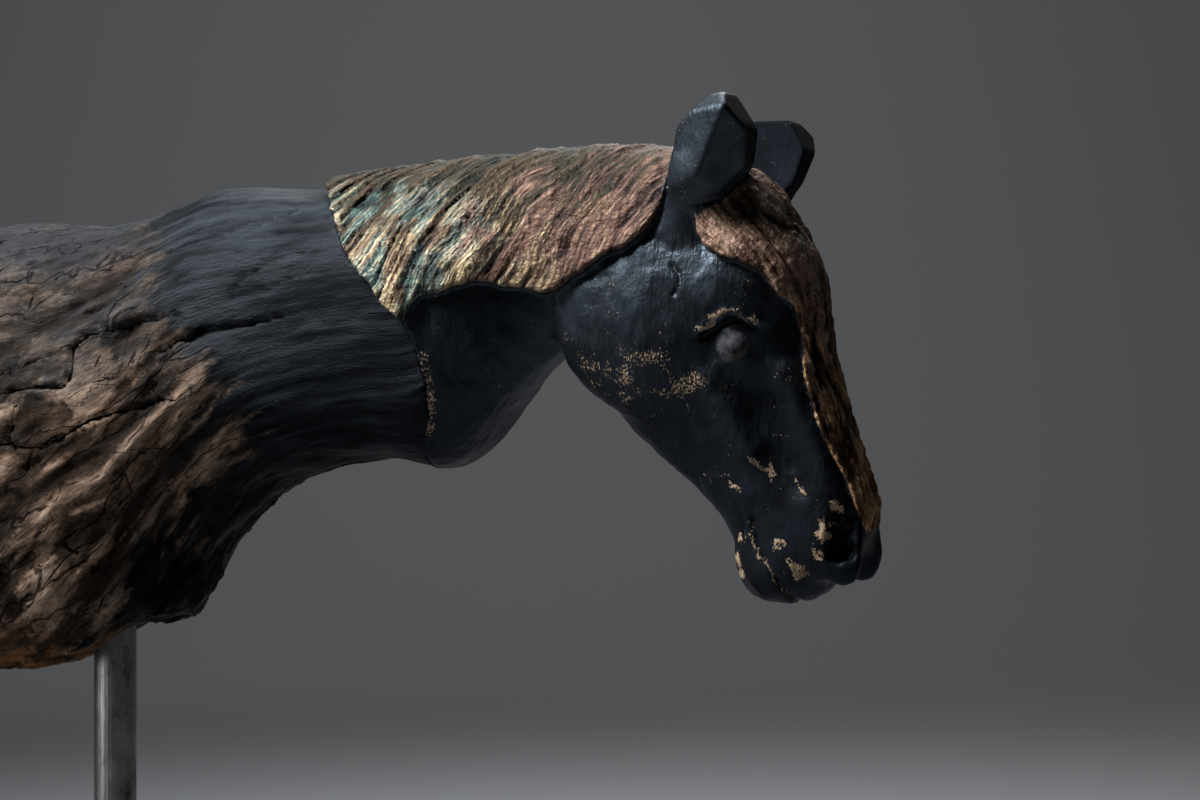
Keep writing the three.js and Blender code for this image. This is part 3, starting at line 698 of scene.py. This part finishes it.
def horse_field(x, y, z):
    t, u = face_axes(x, z)
    d = join(log_field(x, y, z), skull_field(t, u, y), THROAT_BLEND)
    haired = (z - mane_edge(x) > -HAIR_MARGIN) | (u - forelock_edge(t) > -HAIR_MARGIN)
    near = (np.abs(d) < HAIR_REACH) & haired
    full = [np.broadcast_to(v, d.shape)[near] for v in (x, y, z, t, u)]
    d[near] -= hair_thickness(*full)
    for ear in EARS:
        d = join(d, ear_field(x, y, z, *ear), EAR_BLEND)
    return common(d, -seam_gap(x, z), SEAM_ROUNDING)


def wood_field(x, y, z):
    d = common(log_field(x, y, z), seam_gap(x, z) + FIT_GAP, SEAM_ROUNDING)
    bore = np.maximum(np.sqrt(x * x + y * y) - BORE_RADIUS, z - BORE_TOP)
    return cut(d, bore, BORE_ROUNDING)


def mesh_of_field(field, space, cell):
    """Corner points and four-sided faces of the surface where a distance field is zero."""
    axes = [np.arange(a, b + cell, cell) for a, b in zip(*space)]
    count = [len(v) for v in axes]
    values = np.empty(count, np.float32)
    for i in range(0, count[0], SLAB):
        x = axes[0][i:i + SLAB, None, None]
        values[i:i + SLAB] = field(x, axes[1][None, :, None], axes[2][None, None, :])
    inside = values < 0
    ends = [n - 1 for n in count]
    filled = 0
    for corner in CORNERS:
        filled = filled + inside[tuple(slice(a, n + a) for a, n in zip(corner, ends))].astype(np.uint8)
    crossed = (filled > 0) & (filled < len(CORNERS))
    cells = np.stack(np.nonzero(crossed), 1)
    number_of = np.full(crossed.shape, -1, np.int32)
    number_of[crossed] = np.arange(len(cells))
    steps = np.eye(3, dtype=int)
    total = np.zeros((len(cells), 3))
    hits = np.zeros((len(cells), 1))
    for axis, step in enumerate(steps):
        for corner in [c for c in CORNERS if not c[axis]]:
            a = values[tuple((cells + corner).T)]
            b = values[tuple((cells + corner + step).T)]
            change = ((a < 0) != (b < 0))[:, None]
            share = np.divide(a, a - b, out=np.zeros_like(a), where=change[:, 0])[:, None]
            total += change * (np.array(corner) + share * step)
            hits += change
    points = np.array(space[0]) + (cells + total / hits) * cell
    faces = []
    for axis, step in enumerate(steps):
        b, c = steps[[(axis + 1) % 3, (axis + 2) % 3]]
        start = inside[tuple(slice(0, n - s) for n, s in zip(count, step))]
        end = inside[tuple(slice(s, None) for s in step)]
        edges = np.stack(np.nonzero(start != end), 1)
        ring = np.stack([number_of[tuple((edges - off).T)] for off in (0 * b, b, b + c, c)], 1)
        out = ~start[tuple(edges.T)]
        ring[out] = ring[out][:, ::-1]
        faces.append(ring)
    return points, np.concatenate(faces)


def settle(field, points, cell):
    """Moves points onto the surface, each by less than its cell."""
    step = cell / 4
    here = field(*points.T)
    slope = np.stack([(field(*(points + s).T) - here) / step for s in np.eye(3) * step], 1)
    size = np.maximum((slope**2).sum(1), LEAST_SLOPE)
    return points - (np.clip(here, -cell / 2, cell / 2) / size)[:, None] * slope


def outward(points, faces):
    """Unit normals at the points of a mesh of four-sided faces."""
    a, b, c, d = (points[faces[:, n]] for n in range(4))
    facing = np.cross(c - a, d - b)
    normals = np.zeros_like(points)
    for n in range(4):
        np.add.at(normals, faces[:, n], facing)
    return normals / np.maximum(np.linalg.norm(normals, axis=1, keepdims=True), TINY)


def shade(mesh, name, values):
    """Stores one number, or one vector, for each point of a mesh."""
    kind = "FLOAT_VECTOR" if values.ndim == 2 else "FLOAT"
    field_name = "vector" if values.ndim == 2 else "value"
    layer = mesh.attributes.new(name, kind, "POINT")
    layer.data.foreach_set(field_name, np.ascontiguousarray(values, np.float32).ravel())


def show_in_scene(obj):
    bpy.context.scene.collection.objects.link(obj)


def piece(name, points, faces, material, node):
    mesh = bpy.data.meshes.new(name)
    mesh.from_pydata((points * MM).tolist(), [], faces.tolist())
    mesh.polygons.foreach_set("use_smooth", np.ones(len(faces), bool))
    mesh.materials.append(material)
    obj = bpy.data.objects.new(name, mesh)
    show_in_scene(obj)
    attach(obj, "root")
    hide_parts(node)
    return mesh


def wood_flow(x, y, z):
    """Along, across and into the log's grain."""
    middle = (log_top(x) + log_under(x)) / 2
    height = (z - middle) / ((log_top(x) - log_under(x)) / 2)
    climb = GRAIN_CLIMB + GRAIN_LOW_CLIMB * short_of(height, GRAIN_CLIMB_BELOW)
    across = GRAIN_HEIGHT * height - climb * x
    deep = GRAIN_DEPTH * y / log_half_width(x)
    return x, across + textured(x, across, deep, GRAIN_WANDER), deep


def crack_side(x, y, z, lines):
    """Distance from the nearest crack in widths of that crack, negative on one side of it."""
    wander = textured(x, y, z, CRACK_WANDER)
    nearest = np.full(x.shape, np.inf)
    for line, width in lines:
        from_ends = np.minimum(*(np.hypot(x - a, z - b) for a, b in (line[0], line[-1])))
        open_width = width * (CRACK_TIP + CRACK_WIDENING * ramp(from_ends, CRACK_TAPER))
        open_width = open_width * (1 + textured(x, 0 * y, z, CRACK_SWELL))
        open_width = open_width * np.where(y < 0, 1, FAR_CRACK_SHARE)
        side = side_of_line(x + wander, z - wander, line) / open_width
        nearest = np.where(np.abs(side) < np.abs(nearest), side, nearest)
    return nearest


def checked_blocks(along, across, deep):
    band = across / BLOCK_HEIGHT + textured(along, across, deep, BLOCK_WAVES)
    row = np.floor(band)
    place = along / BLOCK_LENGTH + BLOCK_STAGGER * row + textured(along, across, deep, BLOCK_SHIFTS)
    column = np.floor(place)
    to_side = np.minimum(band - row, 1 - (band - row)) * BLOCK_HEIGHT
    to_end = np.minimum(place - column, 1 - (place - column)) * BLOCK_LENGTH
    edge = np.minimum(to_side, BLOCK_END_SHARE * to_end)
    far_side = (deep > 0).astype(np.int64)
    height = lattice(row.astype(np.int64), column.astype(np.int64), far_side, BLOCK_SEED)
    return height * ramp(edge, BLOCK_EDGE), 1 - ramp(edge, CHECK_WIDTH)


def wood_relief(x, y, z):
    """Lumps, blocks, fibres and pits of the weathered log in millimetres, and how bare the wood is."""
    grain = wood_flow(x, y, z)
    chips = textured(*grain, WOOD_CHIPS)
    plates = np.floor(chips) + past(chips - np.floor(chips), PLATE_EDGE)
    blocks, check = checked_blocks(*grain)
    check = check * past(textured(*grain, CHECK_GAPS), CHECK_START)
    fibres = textured(*grain, WOOD_FIBRES)
    pits = past(textured(*grain, WOOD_PITS), PIT_EDGE)
    ragged = sum(textured(*grain, texture) for texture in STAIN_RAGS)
    bare = 1 - past(x - stain_edge(z) + ragged, STAIN_REACH)
    weathered = textured(*grain, WOOD_LUMPS) + BLOCK_STEP * blocks + PLATE_STEP * plates
    weathered = weathered - CHECK_DEPTH * check + fibres - PIT_DEPTH * pits
    rough = np.maximum(bare, short_of(z, ROUGH_BELOW))
    return rough * weathered + (1 - rough) * (textured(x, y, z, WOOD_PLANED) + fibres), bare


def shade_wood(mesh, x, y, z):
    """Marks the height, smoke and rust of the log for its material, and painted shade low down, beside the
    stain and under the stained part.
    """
    past_edge = x - stain_edge(z)
    shade(mesh, "height", (z - WOOD_LOW) / WOOD_HEIGHT)
    shade(mesh, "smoke", past(z, SMOKE_ABOVE) * short_of(x, SMOKE_BEHIND))
    # Painted shade on the bare wood low down beside the stain
    shade(mesh, "low_shade", past(past_edge, LOW_SHADE_REACH) * short_of(z, LOW_SHADE_BELOW))
    # Painted shade on the lower part of the black stain
    shade(mesh, "underside_shade", short_of(z, UNDERSIDE_SHADE_BELOW) * past(past_edge, UNDERSIDE_SHADE_REACH))
    shade(mesh, "rust", short_of(z, RUST_BELOW) * short_of(x, RUST_BEHIND))
    shade(mesh, "flow", np.stack(wood_flow(x, y, z), 1))


def build_wood(material):
    points, faces = mesh_of_field(wood_field, WOOD_SPACE, WOOD_CELL)
    points = settle(wood_field, points, WOOD_CELL)
    normals = outward(points, faces)
    x, y, z = points.T
    hidden = past(seam_gap(x, z), WOOD_HIDDEN)
    bore = (1 - past(np.hypot(x, y) - BORE_RADIUS, BORE_PLAIN)) * (z < BORE_TOP + BORE_PLAIN_TOP)
    show = (1 - hidden) * (1 - bore)
    relief, bare = wood_relief(x, y, z)
    crack = crack_side(x, y, z, CRACKS)
    groove = crack_side(x, y, z, [(line, GROOVE_WIDTH) for line in GROOVES])
    opening = CRACK_DEPTH * (1 - past(np.abs(crack), CRACK_WALL))
    opening = opening + GROOVE_DEPTH * (1 - ramp(np.abs(groove), 1))
    points = points + normals * (show * (relief - RELIEF_SINK - opening))[:, None]
    mesh = piece("driftwood", points, faces, material, "driftwood_body")
    shade(mesh, "bare", bare)
    shade(mesh, "relief", np.clip(RELIEF_MIDDLE + relief / RELIEF_RANGE, 0, 1))
    shade(mesh, "crack", np.clip(crack, -LINE_LIMIT, LINE_LIMIT))
    shade(mesh, "groove", np.clip(groove, -LINE_LIMIT, LINE_LIMIT))
    shade_wood(mesh, x, y, z)


def worn_band(distance, wear):
    strength, half, fade = wear
    return strength * (1 - ramp(distance - half, fade))


def face_wear(t, u, y):
    """Where the black is worn through to tan, from 0 to 1."""
    marks = []
    t = t + textured(t, u, y, WEAR_WANDER_DOWN)
    u = u + textured(t, u, y, WEAR_WANDER_FORWARD)
    patchy = PATCHY_MIDDLE + textured(t, u, y, WEAR_PATCHES)
    for a, b, reach in CHEEK_WEAR:
        down = ((t - a) / (CHEEK_WEAR_DOWN * reach)) ** 2
        forward = ((u - b) / (CHEEK_WEAR_FORWARD * reach)) ** 2
        marks.append(CHEEK_WEAR_STRENGTH * np.exp(-down - forward))
    for a, b, reach in WORN_SPOTS:
        marks.append(worn_band(np.hypot(t - a, u - b), (WORN_SPOT_STRENGTH, 0.5 * reach, reach)))
    for scratch in SCRATCHES:
        marks.append(worn_band(line_distance(t, u, scratch), SCRATCH_WEAR))
    marks.append(patchy * worn_band(line_distance(t, u, LID), LID_WEAR))
    lip = patchy * worn_band(line_distance(t, u + LIP_OFFSET, MOUTH), LIP_WEAR)
    marks.append(lip * short_of(t, LIP_END))
    return np.clip(np.max(marks, axis=0), 0, 1) * np.where(y < 0, 1, FAR_WEAR_SHARE)


def seam_wear(x, z):
    """Where the edge of the head is worn along its joint with the log."""
    return worn_band(seam_gap(x, z), SEAM_WEAR) * past(z, SEAM_WEAR_ABOVE) * short_of(z, SEAM_WEAR_BELOW)


def shade_hair(mesh, x, y, z, t, u, face_side):
    """Marks the strands, and how far along the mane or the face each point lies, for the head's material."""
    across_mane, depth = mane_flow(x, y, z)
    across_face, along_face = face_flow(t, u, y)
    on_face = face_side > 0.5
    face_lines = np.stack([across_face, along_face, y], 1)
    mane_lines = np.stack([across_mane, depth, y], 1)
    shade(mesh, "strand", np.where(on_face, forelock_strands(t, u, y), mane_strands(x, y, z)))
    shade(mesh, "face", face_side)
    shade(mesh, "forward", np.clip((x - MANE_BACK) / MANE_LENGTH, 0, 1))
    shade(mesh, "down", np.clip(np.where(on_face, t / BLAZE_LENGTH, depth / MANE_FALL), 0, 1))
    shade(mesh, "flow", np.where(on_face[:, None], face_lines, mane_lines))


def build_head(material):
    points, faces = mesh_of_field(horse_field, HEAD_SPACE, HEAD_CELL)
    points = settle(horse_field, points, HEAD_CELL)
    normals = outward(points, faces)
    x, y, z = points.T
    t, u = face_axes(x, z)
    ears = np.minimum(*(ear_field(x, y, z, *ear) for ear in EARS))
    off_ear = past(ears, EAR_REACH)
    mane = mane_share(x, y, z) * off_ear
    forelock = forelock_share(t, u, y) * off_ear
    hair = np.maximum(mane, forelock)
    skin = (1 - hair) * (EAR_SMOOTHNESS + (1 - EAR_SMOOTHNESS) * off_ear)
    lumps = textured(x, y, z, CLAY_LUMPS) + textured(x, y, z, CLAY_GRAIN)
    crumbly = 1 + CRUMBLY_GAIN * past(x, CRUMBLY_START)
    crumbs = textured(x, y, z, HAIR_CRUMBS) * crumbly
    show = 1 - short_of(seam_gap(x, z), HEAD_HIDDEN)
    points = points + normals * (show * (skin * lumps + hair * crumbs))[:, None]
    mesh = piece("head", points, faces, material, "horse_head")
    shade(mesh, "hair", hair)
    shade_hair(mesh, x, y, z, t, u, past(forelock - mane, FACE_SIDE))
    shade(mesh, "wear", np.maximum(face_wear(t, u, y), seam_wear(x, z)) * (1 - hair) * off_ear)
    shade(mesh, "eye", 1 - past(ellipsoid((t, u, np.abs(y)), *EYEBALL), EYE_EDGE))
    inner = -normals[:, 1] * np.sign(y) + EAR_INNER_FORWARD * normals[:, 0]
    # Matt inside the ears and over the whole far ear; on the far ear this is painted shade
    shade(mesh, "matt_and_far_shade", (1 - off_ear) * np.maximum(past(inner, EAR_INNER), ramp(y, FAR_EAR_FADE)))


class Painter:
    """Builds one material's nodes. Inputs are numbers, colours or other nodes' outputs."""

    def __init__(self, name):
        self.material = bpy.data.materials.new(name)
        self.material.use_nodes = True
        self.tree = self.material.node_tree
        self.shader = self.tree.nodes["Principled BSDF"]

    def put(self, socket, value):
        if isinstance(value, bpy.types.NodeSocket):
            self.tree.links.new(value, socket)
        elif socket.type == "RGBA":
            socket.default_value = (*value, 1)
        else:
            socket.default_value = value

    def add(self, kind, inputs=(), **settings):
        made = self.tree.nodes.new("ShaderNode" + kind)
        for key, value in settings.items():
            setattr(made, key, value)
        for key, value in dict(inputs).items():
            self.put(made.inputs[key], value)
        return made

    def surface(self, **inputs):
        for key, value in inputs.items():
            self.put(self.shader.inputs[key.replace("_", " ")], value)
        return self.material

    def number(self, name):
        return self.add("Attribute", attribute_name=name).outputs["Fac"]

    def vector(self, name):
        return self.add("Attribute", attribute_name=name).outputs["Vector"]

    def place(self):
        return self.add("TexCoord").outputs["Object"]

    def scaled(self, vector, scale):
        return self.add("Mapping", {"Vector": vector, "Scale": scale}).outputs["Vector"]

    def noise(self, vector, scale, detail, rough):
        inputs = {"Vector": vector, "Scale": scale, "Detail": detail, "Roughness": rough}
        return self.add("TexNoise", inputs).outputs["Fac"]

    def grain(self, vector, scale, detail, rough):
        return self.noise(self.scaled(vector, scale), 1, detail, rough)

    def span(self, value, low, high, to_low=0, to_high=1):
        """Carries a value smoothly from one range to another, and holds it at both ends."""
        inputs = {"Value": value, "From Min": low, "From Max": high, "To Min": to_low, "To Max": to_high}
        return self.add("MapRange", inputs, interpolation_type="SMOOTHSTEP").outputs["Result"]

    def cells(self, vector):
        inputs = {"Vector": vector, "Scale": 1.0}
        return self.add("TexVoronoi", inputs, feature="DISTANCE_TO_EDGE").outputs["Distance"]

    def math(self, operation, a, b):
        return self.add("Math", {0: a, 1: b}, operation=operation).outputs[0]

    def times(self, a, b):
        return self.math("MULTIPLY", a, b)

    def plus(self, a, b):
        return self.math("ADD", a, b)

    def mix(self, share, a, b):
        """The first colour where the share is 0, the second where it is 1."""
        return self.add("Mix", {0: share, 6: a, 7: b}, data_type="RGBA", blend_type="MIX").outputs[2]

    def ramp(self, share, stops):
        made = self.add("ValToRGB", {"Fac": share})
        elements = made.color_ramp.elements
        while len(elements) < len(stops):
            elements.new(0.5)
        for element, (at, colour) in zip(elements, stops):
            element.position = at
            element.color = (*colour, 1)
        return made.outputs["Color"]

    def bump(self, height, distance, strength, under=None):
        inputs = {"Height": height, "Distance": distance, "Strength": strength}
        if under is not None:
            inputs["Normal"] = under
        return self.add("Bump", inputs).outputs["Normal"]


def bare_wood(ink, noises, checks, relief, height):
    """Colour of the log where it is neither stained nor cracked, darkened by painted shade in its hollows,
    its checks and low down beside the stain.
    """
    plates, streaks, fibres, patches, grit = noises
    # The relief darkens the tone in its hollows and lightens it on its lumps: painted shade and light
    tone = ink.plus(plates, ink.span(relief, 0.1, 0.9, -0.13, 0.13))
    weathered = ink.span(ink.plus(height, ink.span(patches, 0.3, 0.7, -0.3, 0.3)), 0.4, 0.85)
    colour = ink.mix(weathered, ink.ramp(tone, BROWN_WOOD), ink.ramp(tone, GREY_WOOD))
    rust = ink.times(ink.number("rust"), ink.span(plates, 0.4, 0.6))
    smoke = ink.times(ink.number("smoke"), ink.span(streaks, 0.35, 0.6, 1, 0.5))
    # Painted shade on the bare wood low down beside the stain
    low_shade = ink.times(ink.number("low_shade"), ink.span(plates, 0.35, 0.65, 1, 0.55))
    coats = [
        (ink.span(patches, 0.54, 0.63, 0, 0.6), ink.ramp(fibres, CHARRED_WOOD)),
        (ink.span(fibres, 0.32, 0.5, 0.65, 0), DARK_FIBRE),
        (ink.span(grit, 0.3, 0.5, 0.6, 0), DARK_GRIT),
        (ink.span(grit, 0.56, 0.7, 0, 0.3), PALE_GRIT),
        # Painted shade in the hollows of the relief
        (ink.span(relief, 0.08, 0.4, 0.7, 0), HOLLOW_SHADE),
        # Painted shade inside the checks
        (ink.times(checks, 0.85), CHECK_SHADE),
        (rust, RUST_BROWN),
        (smoke, SMOKE_GREY),
        (low_shade, ink.ramp(fibres, LOW_SHADED_WOOD)),
    ]
    for share, coat in coats:
        colour = ink.mix(share, colour, coat)
    return colour


def stained_wood(ink, streaks, patches, grit):
    """Colour of the log's black part, darkened low down by painted shade."""
    nicks = ink.times(ink.span(grit, 0.64, 0.7), ink.span(patches, 0.5, 0.62))
    colour = ink.mix(nicks, ink.ramp(streaks, STAINED_WOOD), NICK_TAN)
    # Painted shade on the lower part of the black stain
    return ink.mix(ink.number("underside_shade"), colour, UNDERSIDE_SHADE_BLACK)


def wood_material():
    ink = Painter("driftwood")
    flow = ink.vector("flow")
    noises = [ink.grain(flow, *texture) for texture in WOOD_TEXTURES]
    plates, streaks, fibres, patches, grit = noises
    drift = ink.add("TexNoise", {"Vector": flow, "Scale": CHECK_WARP_SCALE}).outputs["Color"]
    warp = {0: drift, 1: CHECK_WARP, 2: flow}
    warped = ink.add("VectorMath", warp, operation="MULTIPLY_ADD").outputs["Vector"]
    checks = ink.cells(ink.scaled(warped, CHECK_SCALE))
    checks = ink.times(ink.span(checks, 0.012, 0.05, 1, 0), ink.span(streaks, 0.46, 0.56))
    checks = ink.times(checks, ink.number("bare"))
    height = ink.number("height")
    bare = bare_wood(ink, noises, checks, ink.number("relief"), height)
    stain = stained_wood(ink, streaks, patches, grit)
    edge = ink.plus(ink.number("bare"), ink.span(plates, 0.3, 0.7, -0.4, 0.4))
    colour = ink.mix(ink.span(edge, 0.3, 0.8), stain, bare)
    crack = ink.math("ABSOLUTE", ink.number("crack"), 0)
    # Painted shade inside the cracks
    colour = ink.mix(ink.span(crack, 0.5, 1, 1, 0), colour, CRACK_SHADE)
    groove = ink.math("ABSOLUTE", ink.number("groove"), 0)
    # Painted shade inside the tooled grooves
    colour = ink.mix(ink.span(groove, 0.1, 0.5, 0.3, 0), colour, GROOVE_SHADE)
    rough = ink.plus(ink.span(edge, 0.3, 0.7, 0.44, 0.82), ink.span(fibres, 0.3, 0.7, -0.06, 0.1))
    normal = ink.bump(fibres, 0.0005, 0.4)
    normal = ink.bump(grit, 0.0009, 0.6, normal)
    normal = ink.bump(plates, 0.002, ink.span(edge, 0.3, 0.7, 0.15, 0.6), normal)
    normal = ink.bump(checks, -0.001, 0.8, normal)
    burnt = ink.plus(ink.span(patches, 0.3, 0.7, 0, 0.65), ink.span(streaks, 0.3, 0.7, 0, 0.35))
    # Specular level rises with height: painted sheen on the top of the log, painted shade lower down
    gloss = ink.times(ink.span(height, 0.5, 1, 0.06, 0.28), ink.span(burnt, 0.25, 0.7, 0.25, 1.15))
    return ink.surface(Base_Color=colour, Roughness=rough, Normal=normal, Specular_IOR_Level=gloss,
                       Specular_Tint=WOOD_SHEEN)


def head_skin(ink, place, clay, cloud, brushed):
    """Black paint, worn through to tan in places, and the grey eye."""
    specks = ink.grain(place, *WEAR_SPECKS)
    groups = ink.noise(place, *WEAR_GROUPS)
    # Bluish brush streaks: real brush marks in the paint, coloured as their painted sheen
    black = ink.mix(ink.span(brushed, 0.52, 0.76, 0, 0.5), ink.ramp(cloud, BLACK_PAINT), BRUSHED_BLUE_SHEEN)
    scatter = ink.plus(ink.span(specks, 0.3, 0.7, -0.5, 0.5), ink.span(groups, 0.3, 0.7, -0.3, 0.3))
    worn = ink.span(ink.plus(ink.number("wear"), scatter), 0.66, 0.8)
    skin = ink.mix(worn, black, ink.ramp(clay, WORN_TAN))
    return ink.mix(ink.number("eye"), skin, ink.ramp(clay, EYE_GREY))


def head_hair(ink, flow, height, crumbs, forward):
    """Bronze and green patina of the mane's back, copper of its front, and the gilded blaze, each darkest in
    the strands' grooves and palest on their crests: partly the patina's own colours, partly painted shade and
    highlight.
    """
    down = ink.number("down")
    blotch = ink.grain(flow, *HAIR_BLOTCHES)
    shift = ink.span(blotch, 0.3, 0.7, -0.25, 0.25)
    further = ink.plus(forward, shift)
    lower = ink.plus(down, shift)
    # The ramps follow strand height: painted shade in the grooves, painted highlight on the crests
    back = ink.mix(ink.span(blotch, 0.42, 0.56), ink.ramp(height, BRONZE), ink.ramp(height, TEAL))
    mane = ink.mix(ink.span(further, 0.35, 0.72), back, ink.ramp(height, MANE_COPPER))
    top_band = ink.times(ink.span(lower, 0.2, 0.62, 1, 0), ink.span(further, 0.6, 0.95, 1, 0.3))
    mane = ink.mix(top_band, mane, ink.ramp(height, OLIVE))
    gilding = ink.span(lower, 0.4, 0.75, 0, 0.8)
    blaze = ink.mix(gilding, ink.ramp(height, FORELOCK_COPPER), ink.ramp(height, GILT))
    colour = ink.mix(ink.number("face"), mane, blaze)
    return ink.mix(ink.span(crumbs, 0.3, 0.5, 0.45, 0), colour, CRUMB_BROWN)


def head_material():
    ink = Painter("modelled_head")
    place = ink.place()
    flow = ink.vector("flow")
    clay = ink.noise(place, *CLAY_TEXTURE)
    cloud = ink.noise(place, *CLOUD_TEXTURE)
    crumbs = ink.noise(place, *CRUMB_TEXTURE)
    brushed = ink.grain(place, *BRUSHED_TEXTURE)
    hairs = ink.grain(flow, *HAIR_TEXTURE)
    forward = ink.number("forward")
    on_face = ink.number("face")
    hair_share = ink.number("hair")
    height = ink.plus(ink.number("strand"), ink.span(hairs, 0.25, 0.75, -0.46, 0.2))
    skin = head_skin(ink, place, clay, cloud, brushed)
    hair = head_hair(ink, flow, height, crumbs, forward)
    colour = ink.mix(ink.span(hair_share, 0.3, 0.7), skin, hair)
    rough = ink.span(ink.plus(cloud, ink.times(hair_share, 0.1)), 0.3, 0.7, 0.34, 0.48)
    # Rougher and less glossy inside the ears and on the whole far ear; on the far ear this is painted shade
    matt_and_far_shade = ink.math("MAXIMUM", ink.number("matt_and_far_shade"), ink.number("eye"))
    rough = ink.math("MAXIMUM", rough, matt_and_far_shade)
    # Specular level rises with height: painted sheen on the upper face and ears, painted shade on the lower
    # face
    up = ink.add("SeparateXYZ", {0: place}).outputs["Z"]
    gloss = ink.times(ink.span(up, 0.135, 0.225, 0.08, 0.85), ink.span(matt_and_far_shade, 0, 1, 1, 0.2))
    gloss = ink.times(gloss, ink.span(hair_share, 0, 1, 1, 0.2))
    metal = ink.times(hair_share, ink.span(height, 0.4, 0.9, 0.1, 0.55))
    metal = ink.times(metal, ink.span(on_face, 0, 1, 1, 0.45))
    combed = ink.times(hair_share, ink.span(on_face, 0, 1, 1, 0.25))
    combed = ink.times(combed, ink.span(forward, 0.45, 0.8, 1, 0.3))
    normal = ink.bump(clay, 0.0006, 0.4)
    normal = ink.bump(brushed, 0.0005, 0.45, normal)
    normal = ink.bump(ink.times(hairs, combed), 0.0008, 0.8, normal)
    normal = ink.bump(ink.times(crumbs, hair_share), 0.001, 0.9, normal)
    return ink.surface(Base_Color=colour, Roughness=rough, Metallic=metal, Normal=normal,
                       Specular_IOR_Level=gloss, Specular_Tint=PAINT_SHEEN)


def rod_material():
    ink = Painter("rod_steel")
    place = ink.place()
    drawn = ink.grain(place, *DRAWN_LINES)
    colour = ink.ramp(ink.grain(place, *ROD_SCUFFS), ROD_STEEL)
    rough = ink.span(drawn, 0.3, 0.7, 0.42, 0.54)
    normal = ink.bump(drawn, 0.0002, 0.4)
    return ink.surface(Base_Color=colour, Metallic=1, Roughness=rough, Normal=normal)


def plate_material():
    ink = Painter("plate_steel")
    place = ink.place()
    bloom = ink.noise(place, *PLATE_BLOOM)
    rough = ink.span(bloom, 0.3, 0.7, 0.42, 0.62)
    normal = ink.bump(ink.noise(place, *PLATE_GRAIN), 0.0003, 0.4)
    colour = ink.ramp(bloom, PLATE_STEEL)
    return ink.surface(Base_Color=colour, Metallic=0.6, Roughness=rough, Normal=normal)


def stage_material():
    ink = Painter("studio_paper")
    return ink.surface(Base_Color=STAGE_GREY, Roughness=0.9)


def build_stage():
    """A pale floor that curves up into a plain backdrop."""
    angles = np.linspace(0, math.pi / 2, STAGE_BEND_STEPS)[1:]
    run = [(STAGE_FRONT, 0), (STAGE_BACK, 0)]
    run += [(STAGE_BACK + STAGE_BEND * math.sin(a), STAGE_BEND * (1 - math.cos(a))) for a in angles]
    run += [(STAGE_BACK + STAGE_BEND, STAGE_HEIGHT)]
    points = [(side * STAGE_HALF_WIDTH, y, z) for y, z in run for side in (-1, 1)]
    faces = [(2 * n, 2 * n + 1, 2 * n + 3, 2 * n + 2) for n in range(len(run) - 1)]
    mesh = bpy.data.meshes.new("backdrop")
    mesh.from_pydata(points, [], faces)
    mesh.polygons.foreach_set("use_smooth", np.ones(len(faces), bool))
    mesh.materials.append(stage_material())
    backdrop = bpy.data.objects.new("backdrop", mesh)
    backdrop.rotation_euler.z = CAMERA_TURN
    show_in_scene(backdrop)


def seen_from_camera(right, ahead, up):
    """A point given from the object's middle as the camera sees it."""
    c = math.cos(CAMERA_TURN)
    s = math.sin(CAMERA_TURN)
    return Vector(LIGHT_TARGET) + Vector((right * c - ahead * s, right * s + ahead * c, up))


def add_light(name, place, aim, size, spread, power, colour):
    lamp = bpy.data.lights.new(name, "AREA")
    lamp.shape = "DISK"
    lamp.size = size
    lamp.spread = math.radians(spread)
    lamp.energy = power
    lamp.color = colour
    obj = bpy.data.objects.new(name, lamp)
    obj.location = seen_from_camera(*place)
    obj.rotation_euler = (obj.location - seen_from_camera(*aim)).to_track_quat("Z", "Y").to_euler()
    show_in_scene(obj)


def build_light():
    for light in LIGHTS:
        add_light(*light)
    world = bpy.data.worlds.new("room")
    world.use_nodes = True
    sky = world.node_tree.nodes["Background"]
    sky.inputs["Color"].default_value = (*ROOM_COLOUR, 1)
    sky.inputs["Strength"].default_value = ROOM_STRENGTH
    bpy.context.scene.world = world
    bpy.context.scene.view_settings.view_transform = "Standard"


def build_camera():
    lens = bpy.data.cameras.new("camera")
    lens.lens = CAMERA_LENS
    lens.sensor_width = SENSOR
    camera = bpy.data.objects.new("camera", lens)
    camera.location = CAMERA_PLACE
    camera.rotation_euler = (math.pi / 2, 0, CAMERA_TURN)
    show_in_scene(camera)
    bpy.context.scene.camera = camera


build_wood(wood_material())
build_head(head_material())
for node, material in (("support_rod", rod_material()), ("base_plate", plate_material())):
    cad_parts[node].data.materials.clear()
    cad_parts[node].data.materials.append(material)
build_stage()
build_light()
build_camera()
